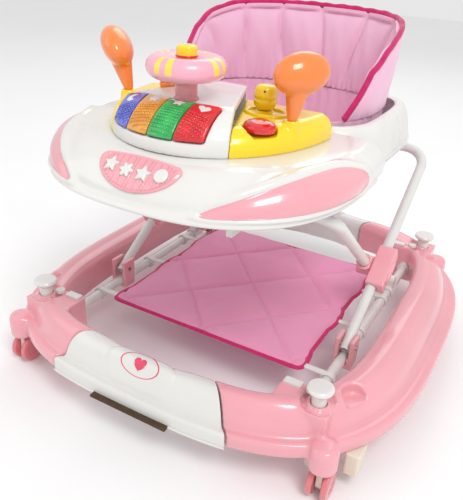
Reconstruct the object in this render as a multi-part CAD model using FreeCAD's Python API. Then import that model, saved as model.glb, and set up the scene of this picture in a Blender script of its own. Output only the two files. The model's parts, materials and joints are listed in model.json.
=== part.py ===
"""Baby walker with an activity tray, a folding scissor frame and a ring-shaped base.

Millimetres, +Z up, +X to the walker's right as seen from the front, the child faces -Y.
The origin is on the floor under the middle of the base ring.
"""
import FreeCAD
import Part
import math
import os

V = FreeCAD.Vector
X_AXIS = V(1, 0, 0)
Y_AXIS = V(0, 1, 0)
Z_AXIS = V(0, 0, 1)
ORIGIN = V(0, 0, 0)

# ---------------------------------------------------------------- driving dimensions
# Base ring: a superellipse outside and a squarer one round the central opening.
BASE_HALF_W = 332.0
BASE_HALF_L = 356.0
BASE_POWER = 3.1
OPEN_HALF_W = 245.0
OPEN_HALF_L = 291.0
OPEN_POWER = 4.0
BASE_LOW_Z = 60.0
BAND_TOP_Z = 80.0
LEDGE_W = 21.0
LEDGE_RISE = 3.0
DOME_Z = 121.0
INNER_TOP_Z = 112.0
BASE_WALL = 3.0
PANEL_STEP = 1.5
SEAM_OUTER_DEG = 67.2
SEAM_INNER_DEG = 72.3
SIDE_STATIONS = 15
PANEL_STATIONS = 7
NOTCH_DEPTH = 7.0
NOTCH_HALF_W = 55.0

# Corner features of the base ring.
KNOB_X = 230.0
KNOB_Y = 260.0
KNOB_CAP_D = 35.0
KNOB_TOP_Z = 143.0
KNOB_STEM_D = 20.0
STOPPER_SHANK_D = 10.0
STOPPER_FOOT_D = 16.0
STOPPER_FOOT_H = 14.0
STOPPER_TRAVEL = 12.0
WELL_D = 46.0
WELL_FLOOR_Z = 113.0
COLLAR_D = 30.0
COLLAR_TOP_Z = 118.0
POCKET_X = 264.0
POCKET_Y = 220.0
POCKET_D = 36.0
POCKET_FLOOR_Z = 104.0
BLOCK_INNER_X = 172.0
BLOCK_OUTER_X = 250.0
BLOCK_FACE_Y = 236.0
BLOCK_BACK_Y = 284.0
BLOCK_TOP_Z = 117.0
PLUG_D = 14.0
PLUG_H = 5.0
TAB_L = 24.0
TAB_W = 12.0

# Casters.
CASTER_X = 256.0
CASTER_Y = 292.0
CASTER_TRAIL = 5.0
WHEEL_D = 44.0
WHEEL_W = 8.5
WHEEL_SPACING = 20.0
AXLE_D = 4.0
SWIVEL_D = 10.0
SWIVEL_TOP_Z = 78.0
HOUSING_R = 19.0
HOUSING_LOW_Z = 47.0
HOUSING_TOP_Z = 88.0
FORK_T = 9.0

# Pads under the base.
PAD_X = 284.0
PAD_Y = 249.0
PAD_W = 20.0
PAD_L = 32.0
PAD_LOW_Z = 26.0
STRIP_L = 124.0
STRIP_W = 14.0
STRIP_H = 8.0

# Rails and footrest mat.
TUBE_D = 16.0
TUBE_WALL = 1.2
RAIL_X = 208.0
RAIL_Z = 75.0
RAIL_SEAT = 12.0
END_CAP_D = 22.0
END_CAP_L = 9.0
CLIP_Y = (-161.0, -25.0, 90.0)
CLIP_OUTER_D = 22.0
CLIP_L = 10.0
MAT_HALF_W = 169.0
MAT_FRONT_Y = -174.0
MAT_REAR_Y = 174.0
MAT_Z = 83.0
MAT_T = 4.0

# Scissor frame, in the side view (y, z).
FOOT_Z = 96.0
FOOT_A_Y = 134.0
CROSS_HALF_RUN = 116.0
CROSS_Z = 174.0
ARM_UP = 248.5
BEND_A_DEG = 3.7
LEG_A_X = 191.0
LEG_B_X = 210.0
TOP_BEND_R = 38.0
RIVET_D = 6.0
FOLD_DEG = 20.0
BRACKET_W = 30.0
BRACKET_L = 28.0
BRACKET_LOW_Z = 63.0
BRACKET_TOP_Z = 113.0
SLEEVE_D = 23.0
SLEEVE_L = 30.0
EAR_R = 9.0
EAR_GAP = 1.0
SPIGOT_D = 12.0
FOOT_EYE_D = 22.0
FOOT_WALL = 2.5
FOOT_SLEEVE_L = 34.0
FOOT_A_START = 11.0
CLAMP_L = 72.0
CLAMP_H = 27.0
CLAMP_OUTER_X = 229.0
SOCKET_L = 52.0
SOCKET_D = 26.0
BUTTON_L = 36.0
BUTTON_W = 16.0
BUTTON_PROUD = 3.0
BUTTON_TRAVEL = 2.5

# Tray.
RIM_Z = 347.0
TRAY_TOP_Z = 402.0
TRAY_CY = -120.0
TRAY_POWER = 2.6
TRAY_LEVELS = (
    (0.0, 207.0, 222.0),
    (5.0, 212.0, 227.0),
    (12.0, 214.0, 223.0),
    (30.0, 217.0, 210.0),
    (46.0, 211.0, 192.0),
    (55.0, 194.0, 172.0),
)
TRAY_WALL = 3.0
TRAY_REAR_Y = -78.0
GUIDE_X = 95.0
GUIDE_T = 8.0
GUIDE_WALL = 5.0
SADDLE_X = 118.0
SADDLE_T = 18.0
SADDLE_REACH = 34.0
LAMP_PROUD = 3.0
LAMP_GAP = 0.1
GRILLE_PROUD = 3.0
GRILLE_W = 112.0
GRILLE_H = 46.0
GRILLE_Y = -313.0
GRILLE_Z = 379.0
GRILLE_TILT_DEG = 45.0
EMBLEM_D = 19.0
EMBLEM_PITCH = 23.0

# Toy console on the tray.
CONSOLE_CY = -100.0
CONSOLE_REAR_Y = -104.0
CONSOLE_POWER = 2.05
CENTRE_LEVELS = ((0.0, 148.0, 190.0), (17.0, 147.0, 187.0), (38.0, 140.0, 168.0), (49.0, 122.0, 142.0))
WING_LEVELS = ((0.0, 148.0, 190.0), (16.0, 147.0, 186.0), (26.0, 141.0, 176.0), (31.0, 130.0, 162.0))
CONSOLE_WALL = 8.0
SEAM_FRONT_X = 80.0
SEAM_FRONT_Y = -250.0
SEAM_REAR_X = 57.0
SEAM_REAR_Y = -193.0
KEY_FIRST_X = -79.0
KEY_PITCH = 34.5
KEY_GAP = 0.8
KEY_LOW_RISE = 18.0
KEY_REAR_Y = -232.0
KEY_THICK = 3.0
KEY_PROUD = 1.5
KEY_TRAVEL_DEG = 2.0
KEY_HINGE_X = 27.0
KEY_HINGE_Y = -236.0
KEY_HINGE_D = 3.6
KEY_HINGE_L = 8.0
KEY_HINGE_DEEP = 0.8
DOME_X = 98.0
DOME_Y = -212.0
DOME_R = 20.0
DOME_PROUD = 7.0
DOME_TRAVEL = 3.0
COLUMN_Y = -220.0
COLUMN_D = 29.0
COLUMN_FLARE = 2.0
COLUMN_H = 24.0
STEER_R = 48.5
STEER_T = 27.0
HORN_D = 25.0
HORN_H = 13.0
HORN_TRAVEL = 3.0
RATTLE_X = 122.0
RATTLE_Y = -178.0
RATTLE_H = 92.0
RATTLE_LONG = 38.0
RATTLE_TALL = 28.0
RATTLE_THICK = 21.0
RATTLE_TURN_DEG = 53.0
RATTLE_LEAN_DEG = 18.0
STALK_R = 5.0
TWIST_X = 72.0
TWIST_Y = -150.0
TWIST_D = 30.0
TWIST_H = 31.0
CELL_D = 14.0
CELL_L = 50.0
CELL_X = -24.0
CELL_Y = -190.0
SPEAKER_D = 36.0
SPEAKER_H = 14.0
BOARD_W = 90.0
BOARD_L = 40.0
BOARD_T = 1.6
DOOR_RIM = 8.0
DOOR_T = 2.4

# Seat.
SEAT_CY = 66.0
SEAT_POWER = 4.0
SKIRT_LOW_Z = 345.3
SKIRT_TOP_Z = 402.0
SKIRT_LOW_HALF = (192.0, 153.0)
SKIRT_TOP_HALF = (166.0, 136.0)
SKIRT_WALL = 4.0
RIM_WIDTH = 17.0
RING_T = 11.0
RING_W = 20.0
SLING_LOW_Z = 218.0
SLING_LOW_HALF = (72.0, 62.0)
SLING_T = 5.0
LEG_HOLE_D = 96.0
LEG_HOLE_X = 62.0
LEG_HOLE_Z = 262.0
BACK_TOP_Z = 532.0
BACK_LOW_HALF = (156.0, 126.0)
BACK_TOP_HALF = (165.0, 142.0)
BACK_POWER = 2.5
BACK_T = 12.0
BACK_FRONT_Y = -10.0

# Clearances.
RUN_GAP = 0.05
SLIDE_GAP = 0.4
FACE_GAP = 0.3
GUIDE_GAP = 1.8
CUT_OVER = 1.0


# ---------------------------------------------------------------- helpers
def rod(radius, start, end):
    """A solid cylinder between two points."""
    run = end.sub(start)
    return Part.makeCylinder(radius, run.Length, start, run)


def block(x0, x1, y0, y1, z0, z1):
    """A box from its low and high limits."""
    return Part.makeBox(x1 - x0, y1 - y0, z1 - z0, V(x0, y0, z0))


def lift(shape, radius, edges):
    """Fillet the chosen edges of a solid."""
    return shape.makeFillet(radius, edges)


def mirror_x(shape):
    """The same piece on the other side of the walker."""
    return shape.mirror(ORIGIN, X_AXIS)


def mirror_y(shape):
    """The same piece at the other end of the walker."""
    return shape.mirror(ORIGIN, Y_AXIS)


def four_corners(shape):
    """Copies of a front right piece at all four corners, by name."""
    rear = mirror_y(shape)
    return {"front_right": shape, "front_left": mirror_x(shape), "rear_right": rear,
            "rear_left": mirror_x(rear)}


def oval_radius(half_w, half_l, power, angle):
    """Distance from the centre to a superellipse, in one direction."""
    across = abs(math.cos(angle) / half_w) ** power
    along = abs(math.sin(angle) / half_l) ** power
    return (across + along) ** (-1.0 / power)


def oval_wire(half_w, half_l, power, centre_y, z, count=32):
    """A closed smooth superellipse."""
    points = []
    for i in range(count):
        angle = 2 * math.pi * i / count
        r = oval_radius(half_w, half_l, power, angle)
        points.append(V(r * math.cos(angle), centre_y + r * math.sin(angle), z))
    curve = Part.BSplineCurve()
    curve.interpolate(Points=points, PeriodicFlag=True)
    return Part.Wire([curve.toShape()])


def stacked_ovals(levels, base_z, power, centre_y, grow=0.0, rise=0.0):
    """A solid through superellipses at several heights; grow and rise offset its skin."""
    wires = []
    for height, half_w, half_l in levels:
        wires.append(oval_wire(half_w + grow, half_l + grow, power, centre_y, base_z + height + rise))
    return Part.makeLoft(wires, True, False)


def spline_edge(points):
    """A smooth open edge through points."""
    curve = Part.BSplineCurve()
    curve.interpolate(points)
    return curve.toShape()


def lines(points):
    """A closed polygon face."""
    return Part.Face(Part.makePolygon(points + [points[0]]))


def rounded_route(points, radii):
    """Straight runs through points, joined by tangent arcs at the inner points."""
    edges = []
    start = points[0]
    for i in range(1, len(points) - 1):
        back = points[i - 1].sub(points[i]).normalize()
        ahead = points[i + 1].sub(points[i]).normalize()
        half = back.getAngle(ahead) / 2
        reach = radii[i - 1] / math.tan(half)
        middle = back.add(ahead).normalize()
        arc_start = points[i].add(V(back).multiply(reach))
        arc_end = points[i].add(V(ahead).multiply(reach))
        bow = radii[i - 1] / math.sin(half) - radii[i - 1]
        arc_mid = points[i].add(V(middle).multiply(bow))
        edges.append(Part.LineSegment(start, arc_start).toShape())
        edges.append(Part.Arc(arc_start, arc_mid, arc_end).toShape())
        start = arc_end
    edges.append(Part.LineSegment(start, points[-1]).toShape())
    return Part.Wire(edges)


def swept(route, radius):
    """A round bar along a route."""
    start = route.Vertexes[0].Point
    direction = route.Edges[0].tangentAt(route.Edges[0].FirstParameter)
    ring = Part.Wire([Part.makeCircle(radius, start, direction)])
    return route.makePipeShell([ring], True, False)


def turned(outline):
    """A solid of revolution about Z from (radius, z) corners."""
    face = lines([V(r, 0, z) for r, z in outline])
    return face.revolve(ORIGIN, Z_AXIS, 360)


# ---------------------------------------------------------------- side view of the scissor
CROSS_Y = FOOT_A_Y - CROSS_HALF_RUN
FOOT_B_Y = CROSS_Y - CROSS_HALF_RUN
LEG_ANGLE = math.atan2(CROSS_Z - FOOT_Z, CROSS_HALF_RUN)
ANGLE_A_UP = LEG_ANGLE + math.radians(BEND_A_DEG)
TOP_B = (CROSS_Y + ARM_UP * math.cos(LEG_ANGLE), CROSS_Z + ARM_UP * math.sin(LEG_ANGLE))
TOP_A = (CROSS_Y - ARM_UP * math.cos(ANGLE_A_UP), CROSS_Z + ARM_UP * math.sin(ANGLE_A_UP))
LOWER_ARM = math.hypot(CROSS_HALF_RUN, CROSS_Z - FOOT_Z)
FOLDED_ANGLE = LEG_ANGLE - math.radians(FOLD_DEG)
FOLDED_A_UP = ANGLE_A_UP - math.radians(FOLD_DEG)
GUIDE_TRAVEL = ARM_UP * (math.cos(FOLDED_ANGLE) - math.cos(LEG_ANGLE)
                         + math.cos(FOLDED_A_UP) - math.cos(ANGLE_A_UP))
GUIDE_RISE = ARM_UP * (math.sin(FOLDED_A_UP) - math.sin(FOLDED_ANGLE)) - TOP_A[1] + TOP_B[1]
TUBE_R = TUBE_D / 2


# ---------------------------------------------------------------- base ring
def ring_section(angle_out, angle_in, drop, notch, inset, low_z):
    """The moulding's closed cross-section between an outer and an inner point of the ring."""
    r_out = oval_radius(BASE_HALF_W, BASE_HALF_L, BASE_POWER, angle_out)
    r_in = oval_radius(OPEN_HALF_W, OPEN_HALF_L, OPEN_POWER, angle_in)
    outer = V(r_out * math.cos(angle_out), r_out * math.sin(angle_out), 0)
    inner = V(r_in * math.cos(angle_in), r_in * math.sin(angle_in), 0)
    inward = inner.sub(outer)
    width = inward.Length - notch
    inward.normalize()

    def at(s, z):
        return outer.add(V(inward).multiply(s)).add(V(0, 0, z))

    top = -drop - inset
    ledge_z = BAND_TOP_Z + LEDGE_RISE + top
    dome = spline_edge([
        at(LEDGE_W, ledge_z),
        at(LEDGE_W + 0.22 * (width - LEDGE_W), ledge_z + 0.62 * (DOME_Z + top - ledge_z)),
        at(LEDGE_W + 0.58 * (width - LEDGE_W), DOME_Z + top),
        at(width - inset, INNER_TOP_Z + top),
    ])
    corners = [at(width - inset, low_z), at(inset, low_z), at(inset, BAND_TOP_Z + top),
               at(LEDGE_W, ledge_z)]
    edges = [dome, Part.makeLine(at(width - inset, INNER_TOP_Z + top), corners[0])]
    for a, b in zip(corners, corners[1:]):
        edges.append(Part.makeLine(a, b))
    return Part.Wire(edges)


def notch_at(angle):
    """How far the inner edge of an end panel is stepped back in its middle."""
    x = abs(OPEN_HALF_L / math.tan(angle)) if abs(math.cos(angle)) > 0.001 else 0.0
    return NOTCH_DEPTH / (1 + (x / NOTCH_HALF_W) ** 8)


def ring_run(from_out, to_out, from_in, to_in, stations, drop, inset, low_z, notched):
    """A length of the ring's moulding, lofted through its stations."""
    wires = []
    for i in range(stations):
        t = i / (stations - 1)
        angle_out = math.radians(from_out + t * (to_out - from_out))
        angle_in = math.radians(from_in + t * (to_in - from_in))
        notch = notch_at(angle_in) if notched else 0.0
        wires.append(ring_section(angle_out, angle_in, drop, notch, inset, low_z))
    return Part.makeLoft(wires, True, False)


def caster_housing():
    """The bump that covers a caster's swivel, front right."""
    bump = Part.makeCylinder(HOUSING_R, HOUSING_TOP_Z - HOUSING_LOW_Z,
                             V(CASTER_X, -CASTER_Y, HOUSING_LOW_Z))
    round_top = HOUSING_R * 0.45
    round_low = HOUSING_R * 0.25
    bump = lift(bump, round_top, [e for e in bump.Edges if e.BoundBox.ZMin > HOUSING_TOP_Z - 0.1])
    return lift(bump, round_low, [e for e in bump.Edges if e.BoundBox.ZMax < HOUSING_LOW_Z + 0.1])


def base_side():
    """The right-hand moulding, with its corner blocks, knob wells, pockets and caster housings."""
    end_gap = math.degrees(BASE_WALL / BASE_HALF_L)
    outer = ring_run(-SEAM_OUTER_DEG, SEAM_OUTER_DEG, -SEAM_INNER_DEG, SEAM_INNER_DEG,
                     SIDE_STATIONS, 0.0, 0.0, BASE_LOW_Z, False)
    cavity = ring_run(-SEAM_OUTER_DEG + end_gap, SEAM_OUTER_DEG - end_gap,
                      -SEAM_INNER_DEG + end_gap, SEAM_INNER_DEG - end_gap,
                      SIDE_STATIONS, 0.0, BASE_WALL, BASE_LOW_Z - CUT_OVER, False)
    inside = []
    outside = []
    cuts = []
    for end in (-1, 1):
        well = Part.makeCylinder(WELL_D / 2 + BASE_WALL, DOME_Z - BASE_LOW_Z,
                                 V(KNOB_X, end * KNOB_Y, BASE_LOW_Z))
        pocket = Part.makeCylinder(POCKET_D / 2 + BASE_WALL, DOME_Z - BASE_LOW_Z,
                                   V(POCKET_X, end * POCKET_Y, BASE_LOW_Z))
        inside += [well, pocket]
        y0, y1 = sorted((end * BLOCK_FACE_Y, end * BLOCK_BACK_Y))
        outside.append(block(BLOCK_INNER_X, BLOCK_OUTER_X, y0, y1, BASE_LOW_Z, BLOCK_TOP_Z))
        outside.append(Part.makeCylinder(COLLAR_D / 2, COLLAR_TOP_Z - BASE_LOW_Z,
                                         V(KNOB_X, end * KNOB_Y, BASE_LOW_Z)))
        housing = caster_housing() if end < 0 else mirror_y(caster_housing())
        outside.append(housing)
        cuts.append(Part.makeCylinder(KNOB_STEM_D / 2 + SLIDE_GAP, KNOB_TOP_Z, V(KNOB_X, end * KNOB_Y, 0)))
        cuts.append(Part.makeCylinder(SWIVEL_D / 2 + RUN_GAP, SWIVEL_TOP_Z + FACE_GAP,
                                      V(CASTER_X, end * CASTER_Y, 0)))
        cuts.append(rod(TUBE_R, V(RAIL_X, 0, RAIL_Z), V(RAIL_X, end * (BLOCK_FACE_Y + RAIL_SEAT), RAIL_Z)))
        well_cut = Part.makeCylinder(WELL_D / 2, DOME_Z, V(KNOB_X, end * KNOB_Y, WELL_FLOOR_Z))
        collar = Part.makeCylinder(COLLAR_D / 2, COLLAR_TOP_Z - WELL_FLOOR_Z,
                                   V(KNOB_X, end * KNOB_Y, WELL_FLOOR_Z))
        cuts.append(well_cut.cut(collar))
        cuts.append(Part.makeCylinder(POCKET_D / 2, DOME_Z, V(POCKET_X, end * POCKET_Y, POCKET_FLOOR_Z)))
    solid_parts = inside[0].multiFuse(inside[1:]).common(outer)
    shell = outer.cut(cavity).fuse(solid_parts)
    shell = shell.multiFuse(outside)
    return shell.cut(Part.makeCompound(cuts)).removeSplitter()


def end_panel():
    """The white front panel between the two side mouldings."""
    gap = math.degrees(FACE_GAP / BASE_HALF_L)
    wall = math.degrees(BASE_WALL / BASE_HALF_L) + gap
    mid = -90.0
    out_half = 90.0 - SEAM_OUTER_DEG
    in_half = 90.0 - SEAM_INNER_DEG
    outer = ring_run(mid - out_half + gap, mid + out_half - gap, mid - in_half + gap, mid + in_half - gap,
                     PANEL_STATIONS * 2 + 1, PANEL_STEP, 0.0, BASE_LOW_Z, True)
    cavity = ring_run(mid - out_half + wall, mid + out_half - wall, mid - in_half + wall,
                      mid + in_half - wall,
                      PANEL_STATIONS * 2 + 1, PANEL_STEP, BASE_WALL, BASE_LOW_Z - CUT_OVER, True)
    return outer.cut(cavity)


def rail_fittings(side):
    """Plugs and tabs that lock the rails into the corner blocks, and the rear end collars."""
    x_plug = RAIL_X + 6
    y_plug = BLOCK_FACE_Y + 10
    plug = Part.makeCylinder(PLUG_D / 2, PLUG_H, V(x_plug, -y_plug, BLOCK_TOP_Z))
    x_tab = BLOCK_INNER_X + 4
    tab = block(x_tab, x_tab + TAB_L, -BLOCK_FACE_Y - TAB_W - 2, -BLOCK_FACE_Y - 2,
                BLOCK_TOP_Z, BLOCK_TOP_Z + BASE_WALL)
    near = BLOCK_FACE_Y - END_CAP_L
    collar = rod(END_CAP_D / 2, V(RAIL_X, near, RAIL_Z), V(RAIL_X, BLOCK_FACE_Y, RAIL_Z))
    collar = collar.cut(rod(TUBE_R, V(RAIL_X, near - 1, RAIL_Z), V(RAIL_X, BLOCK_FACE_Y + 1, RAIL_Z)))
    pieces = []
    for piece in (plug.cut(side), tab.cut(side)):
        pieces += four_corners(piece).values()
    collar = largest(collar.cut(side))
    return pieces + [collar, mirror_x(collar)]


def stair_pads():
    """Stop pads under the ring's corners."""
    pad = block(PAD_X - PAD_W / 2, PAD_X + PAD_W / 2, -PAD_Y - PAD_L / 2, -PAD_Y + PAD_L / 2,
                PAD_LOW_Z, BASE_LOW_Z)
    pad = lift(pad, 3.0, [e for e in pad.Edges if e.BoundBox.ZLength > 10])
    return list(four_corners(pad).values())


def friction_strips():
    """Dark grip strips under the end panels."""
    outer_y = -BASE_HALF_L + PANEL_STEP
    strip = block(-STRIP_L / 2, STRIP_L / 2, outer_y, outer_y + STRIP_W, BASE_LOW_Z - STRIP_H, BASE_LOW_Z)
    return [strip, mirror_y(strip)]


# ---------------------------------------------------------------- casters and stoppers
def caster_fork():
    """Stem, plate and web that hold a pair of wheels, front right."""
    wheel_r = WHEEL_D / 2
    axle_y = -CASTER_Y + CASTER_TRAIL
    plate_z = HOUSING_LOW_Z - FACE_GAP
    stem = Part.makeCylinder(SWIVEL_D / 2, SWIVEL_TOP_Z - plate_z + 1, V(CASTER_X, -CASTER_Y, plate_z - 1))
    web = block(CASTER_X - FORK_T / 2, CASTER_X + FORK_T / 2, axle_y - wheel_r * 0.45,
                axle_y + wheel_r * 0.45,
                wheel_r, plate_z)
    nose = rod(wheel_r * 0.45, V(CASTER_X - FORK_T / 2, axle_y, wheel_r),
               V(CASTER_X + FORK_T / 2, axle_y, wheel_r))
    fork = web.fuse(nose).fuse(stem)
    reach = WHEEL_SPACING
    hole = rod(AXLE_D / 2 + RUN_GAP, V(CASTER_X - reach, axle_y, wheel_r),
               V(CASTER_X + reach, axle_y, wheel_r))
    return fork.cut(hole).removeSplitter()


def caster_wheels():
    """Two wheels on one axle, front right."""
    wheel_r = WHEEL_D / 2
    axle_y = -CASTER_Y + CASTER_TRAIL
    outline = [(AXLE_D / 2, 0), (wheel_r - 2, 0), (wheel_r, 2), (wheel_r, WHEEL_W - 2),
               (wheel_r - 2, WHEEL_W),
               (wheel_r * 0.6, WHEEL_W), (wheel_r * 0.5, WHEEL_W - 1.2), (AXLE_D / 2, WHEEL_W - 1.2)]
    wheel = turned(outline)
    wheel.rotate(ORIGIN, Y_AXIS, 90)
    right = wheel.copy()
    right.translate(V(CASTER_X + WHEEL_SPACING / 2 - WHEEL_W / 2, axle_y, wheel_r))
    left = wheel.mirror(ORIGIN, X_AXIS)
    left.translate(V(CASTER_X - WHEEL_SPACING / 2 + WHEEL_W / 2, axle_y, wheel_r))
    half = (WHEEL_SPACING + WHEEL_W) / 2 - 1.2
    axle = rod(AXLE_D / 2, V(CASTER_X - half, axle_y, wheel_r), V(CASTER_X + half, axle_y, wheel_r))
    return [left, axle, right]


def stopper():
    """A push-down stopper: cap, stem, shank and foot in one, front right."""
    foot_low = STOPPER_TRAVEL + 0.5
    cap_r = KNOB_CAP_D / 2
    stem_r = KNOB_STEM_D / 2
    shank_r = STOPPER_SHANK_D / 2
    foot_r = STOPPER_FOOT_D / 2
    cap_low = COLLAR_TOP_Z + STOPPER_TRAVEL + 0.5
    outline = [(0, foot_low), (foot_r, foot_low), (foot_r, foot_low + STOPPER_FOOT_H),
               (shank_r, foot_low + STOPPER_FOOT_H + 2), (shank_r, BASE_LOW_Z + 8), (stem_r,
                                                                                     BASE_LOW_Z + 8),
               (stem_r, cap_low), (cap_r - 1.5, cap_low + 5), (cap_r, cap_low + 7), (cap_r,
                                                                                     KNOB_TOP_Z - 2.5),
               (cap_r - 2.5, KNOB_TOP_Z), (0, KNOB_TOP_Z)]
    piece = turned(outline)
    piece.translate(V(KNOB_X, -KNOB_Y, 0))
    return piece


# ---------------------------------------------------------------- rails and mat
def rail():
    """The right-hand rail tube."""
    half = BLOCK_FACE_Y + RAIL_SEAT
    tube = rod(TUBE_R, V(RAIL_X, -half, RAIL_Z), V(RAIL_X, half, RAIL_Z))
    return tube.cut(rod(TUBE_R - TUBE_WALL, V(RAIL_X, -half, RAIL_Z), V(RAIL_X, half, RAIL_Z)))


def mat_clips():
    """Clips that hook the footrest mat to the rails."""
    clips = []
    for y in CLIP_Y:
        ring = rod(CLIP_OUTER_D / 2, V(RAIL_X, y - CLIP_L / 2, RAIL_Z), V(RAIL_X, y + CLIP_L / 2, RAIL_Z))
        arm = block(MAT_HALF_W + FACE_GAP, RAIL_X, y - CLIP_L / 2, y + CLIP_L / 2,
                    MAT_Z - MAT_T / 2, MAT_Z + MAT_T / 2)
        bore = rod(TUBE_R, V(RAIL_X, y - CLIP_L, RAIL_Z), V(RAIL_X, y + CLIP_L, RAIL_Z))
        clip = ring.fuse(arm).cut(bore).removeSplitter()
        clips += [clip, mirror_x(clip)]
    return clips


def footrest_mat():
    """The padded mat between the rails."""
    mat = block(-MAT_HALF_W, MAT_HALF_W, MAT_FRONT_Y, MAT_REAR_Y, MAT_Z - MAT_T / 2, MAT_Z + MAT_T / 2)
    return lift(mat, 8.0, [e for e in mat.Edges if e.BoundBox.ZLength > MAT_T / 2])


def rail_sleeves():
    """Sleeves on the rails with the spigots that carry the rear feet of leg frame A."""
    y0 = FOOT_A_Y - SLEEVE_L / 2
    y1 = FOOT_A_Y + SLEEVE_L / 2
    body = rod(SLEEVE_D / 2, V(RAIL_X, y0, RAIL_Z), V(RAIL_X, y1, RAIL_Z))
    ear_x0 = LEG_A_X + TUBE_R + EAR_GAP
    ear_x1 = RAIL_X + TUBE_R
    ear = block(ear_x0, ear_x1, FOOT_A_Y - EAR_R, FOOT_A_Y + EAR_R, RAIL_Z, FOOT_Z)
    cheek = rod(EAR_R, V(ear_x0, FOOT_A_Y, FOOT_Z), V(ear_x1, FOOT_A_Y, FOOT_Z))
    spigot = rod(SPIGOT_D / 2, V(LEG_A_X - TUBE_R - FOOT_WALL - 1, FOOT_A_Y, FOOT_Z),
                 V(ear_x0 + 1, FOOT_A_Y, FOOT_Z))
    piece = body.fuse(ear).fuse(cheek).fuse(spigot)
    piece = piece.cut(rod(TUBE_R, V(RAIL_X, y0 - 1, RAIL_Z), V(RAIL_X, y1 + 1, RAIL_Z))).removeSplitter()
    return [piece, mirror_x(piece)]


# ---------------------------------------------------------------- scissor legs
def leg_point(x, y, z, along, angle):
    """A point measured along a leg direction in the side view."""
    return V(x, y + along * math.cos(angle), z + along * math.sin(angle))


def leg_a_route():
    """Frame A: rear foot, up and forward past the crossing, across under the tray and back."""
    foot = leg_point(LEG_A_X, FOOT_A_Y, FOOT_Z, FOOT_A_START, math.pi - LEG_ANGLE)
    cross = V(LEG_A_X, CROSS_Y, CROSS_Z)
    top = V(LEG_A_X, TOP_A[0], TOP_A[1])
    right = [foot, cross, top]
    left = [V(-p.x, p.y, p.z) for p in reversed(right)]
    return rounded_route(right + left, [200.0, TOP_BEND_R, TOP_BEND_R, 200.0])


def leg_b_route():
    """Frame B: front foot, up and rearward, across under the seat ring and back."""
    foot = leg_point(LEG_B_X, FOOT_B_Y, FOOT_Z, -8.0, LEG_ANGLE)
    top = V(LEG_B_X, TOP_B[0], TOP_B[1])
    right = [foot, top]
    left = [V(-p.x, p.y, p.z) for p in reversed(right)]
    return rounded_route(right + left, [TOP_BEND_R, TOP_BEND_R])


def cross_bore(y, z, radius, x0, x1):
    """Bores through both sides of the walker, along X."""
    right = rod(radius, V(x0, y, z), V(x1, y, z))
    return right.fuse(mirror_x(right))


def leg_frame(route, holes):
    """A bent tube with its pin holes."""
    tube = swept(route, TUBE_R).cut(swept(route, TUBE_R - TUBE_WALL))
    for hole in holes:
        tube = tube.cut(hole)
    return tube


def tilted_block(x0, x1, length, height, y, z, angle):
    """A box centred on a leg and turned to its slope."""
    box = block(x0, x1, -length / 2, length / 2, -height / 2, height / 2)
    box.rotate(ORIGIN, X_AXIS, math.degrees(angle))
    box.translate(V(0, y, z))
    return box


def leg_a_feet():
    """Rings that turn on the rail sleeves' spigots."""
    x0 = LEG_A_X - TUBE_R - FOOT_WALL
    x1 = LEG_A_X + TUBE_R + EAR_GAP - FACE_GAP
    outer = rod(FOOT_EYE_D / 2, V(x0, FOOT_A_Y, FOOT_Z), V(x1, FOOT_A_Y, FOOT_Z))
    stub_end = leg_point(LEG_A_X, FOOT_A_Y, FOOT_Z, FOOT_SLEEVE_L, math.pi - LEG_ANGLE)
    stub = rod(TUBE_R + FOOT_WALL, V(LEG_A_X, FOOT_A_Y, FOOT_Z), stub_end)
    ring = outer.fuse(stub.common(block(x0, x1, 0, BASE_HALF_L, 0, RIM_Z)))
    ring = ring.cut(swept(leg_a_route(), TUBE_R))
    ring = ring.cut(rod(SPIGOT_D / 2 + RUN_GAP, V(x0 - 5, FOOT_A_Y, FOOT_Z), V(x1 + 5, FOOT_A_Y, FOOT_Z)))
    return [ring, mirror_x(ring)]


def cross_sockets():
    """Sockets on frame A at the crossing."""
    x0 = LEG_A_X - SOCKET_D / 2
    x1 = (LEG_A_X + LEG_B_X) / 2 - FACE_GAP / 2
    body = rod(SOCKET_D / 2, leg_point(LEG_A_X, CROSS_Y, CROSS_Z, SOCKET_L / 2, math.pi - ANGLE_A_UP),
               leg_point(LEG_A_X, CROSS_Y, CROSS_Z, -SOCKET_L / 2, math.pi - LEG_ANGLE))
    hub = rod(SOCKET_D / 2 + 3, V(x0, CROSS_Y, CROSS_Z), V(x1, CROSS_Y, CROSS_Z))
    socket = body.fuse(hub).common(block(x0, x1, -BASE_HALF_L, BASE_HALF_L, 0, RIM_Z))
    socket = socket.cut(swept(leg_a_route(), TUBE_R))
    socket = socket.cut(cross_bore(CROSS_Y, CROSS_Z, RIVET_D / 2 + RUN_GAP, 0, CLAMP_OUTER_X))
    return [socket, mirror_x(socket)]


def button_outline(half_l, half_w, x, depth):
    """A stadium-shaped prism lying along leg B."""
    run = half_l - half_w
    core = block(x, x + depth, -run, run, -half_w, half_w)
    ends = [rod(half_w, V(x, s * run, 0), V(x + depth, s * run, 0)) for s in (-1, 1)]
    piece = core.multiFuse(ends).removeSplitter()
    piece.rotate(ORIGIN, X_AXIS, math.degrees(LEG_ANGLE))
    piece.translate(V(0, CROSS_Y, CROSS_Z))
    return piece


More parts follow.
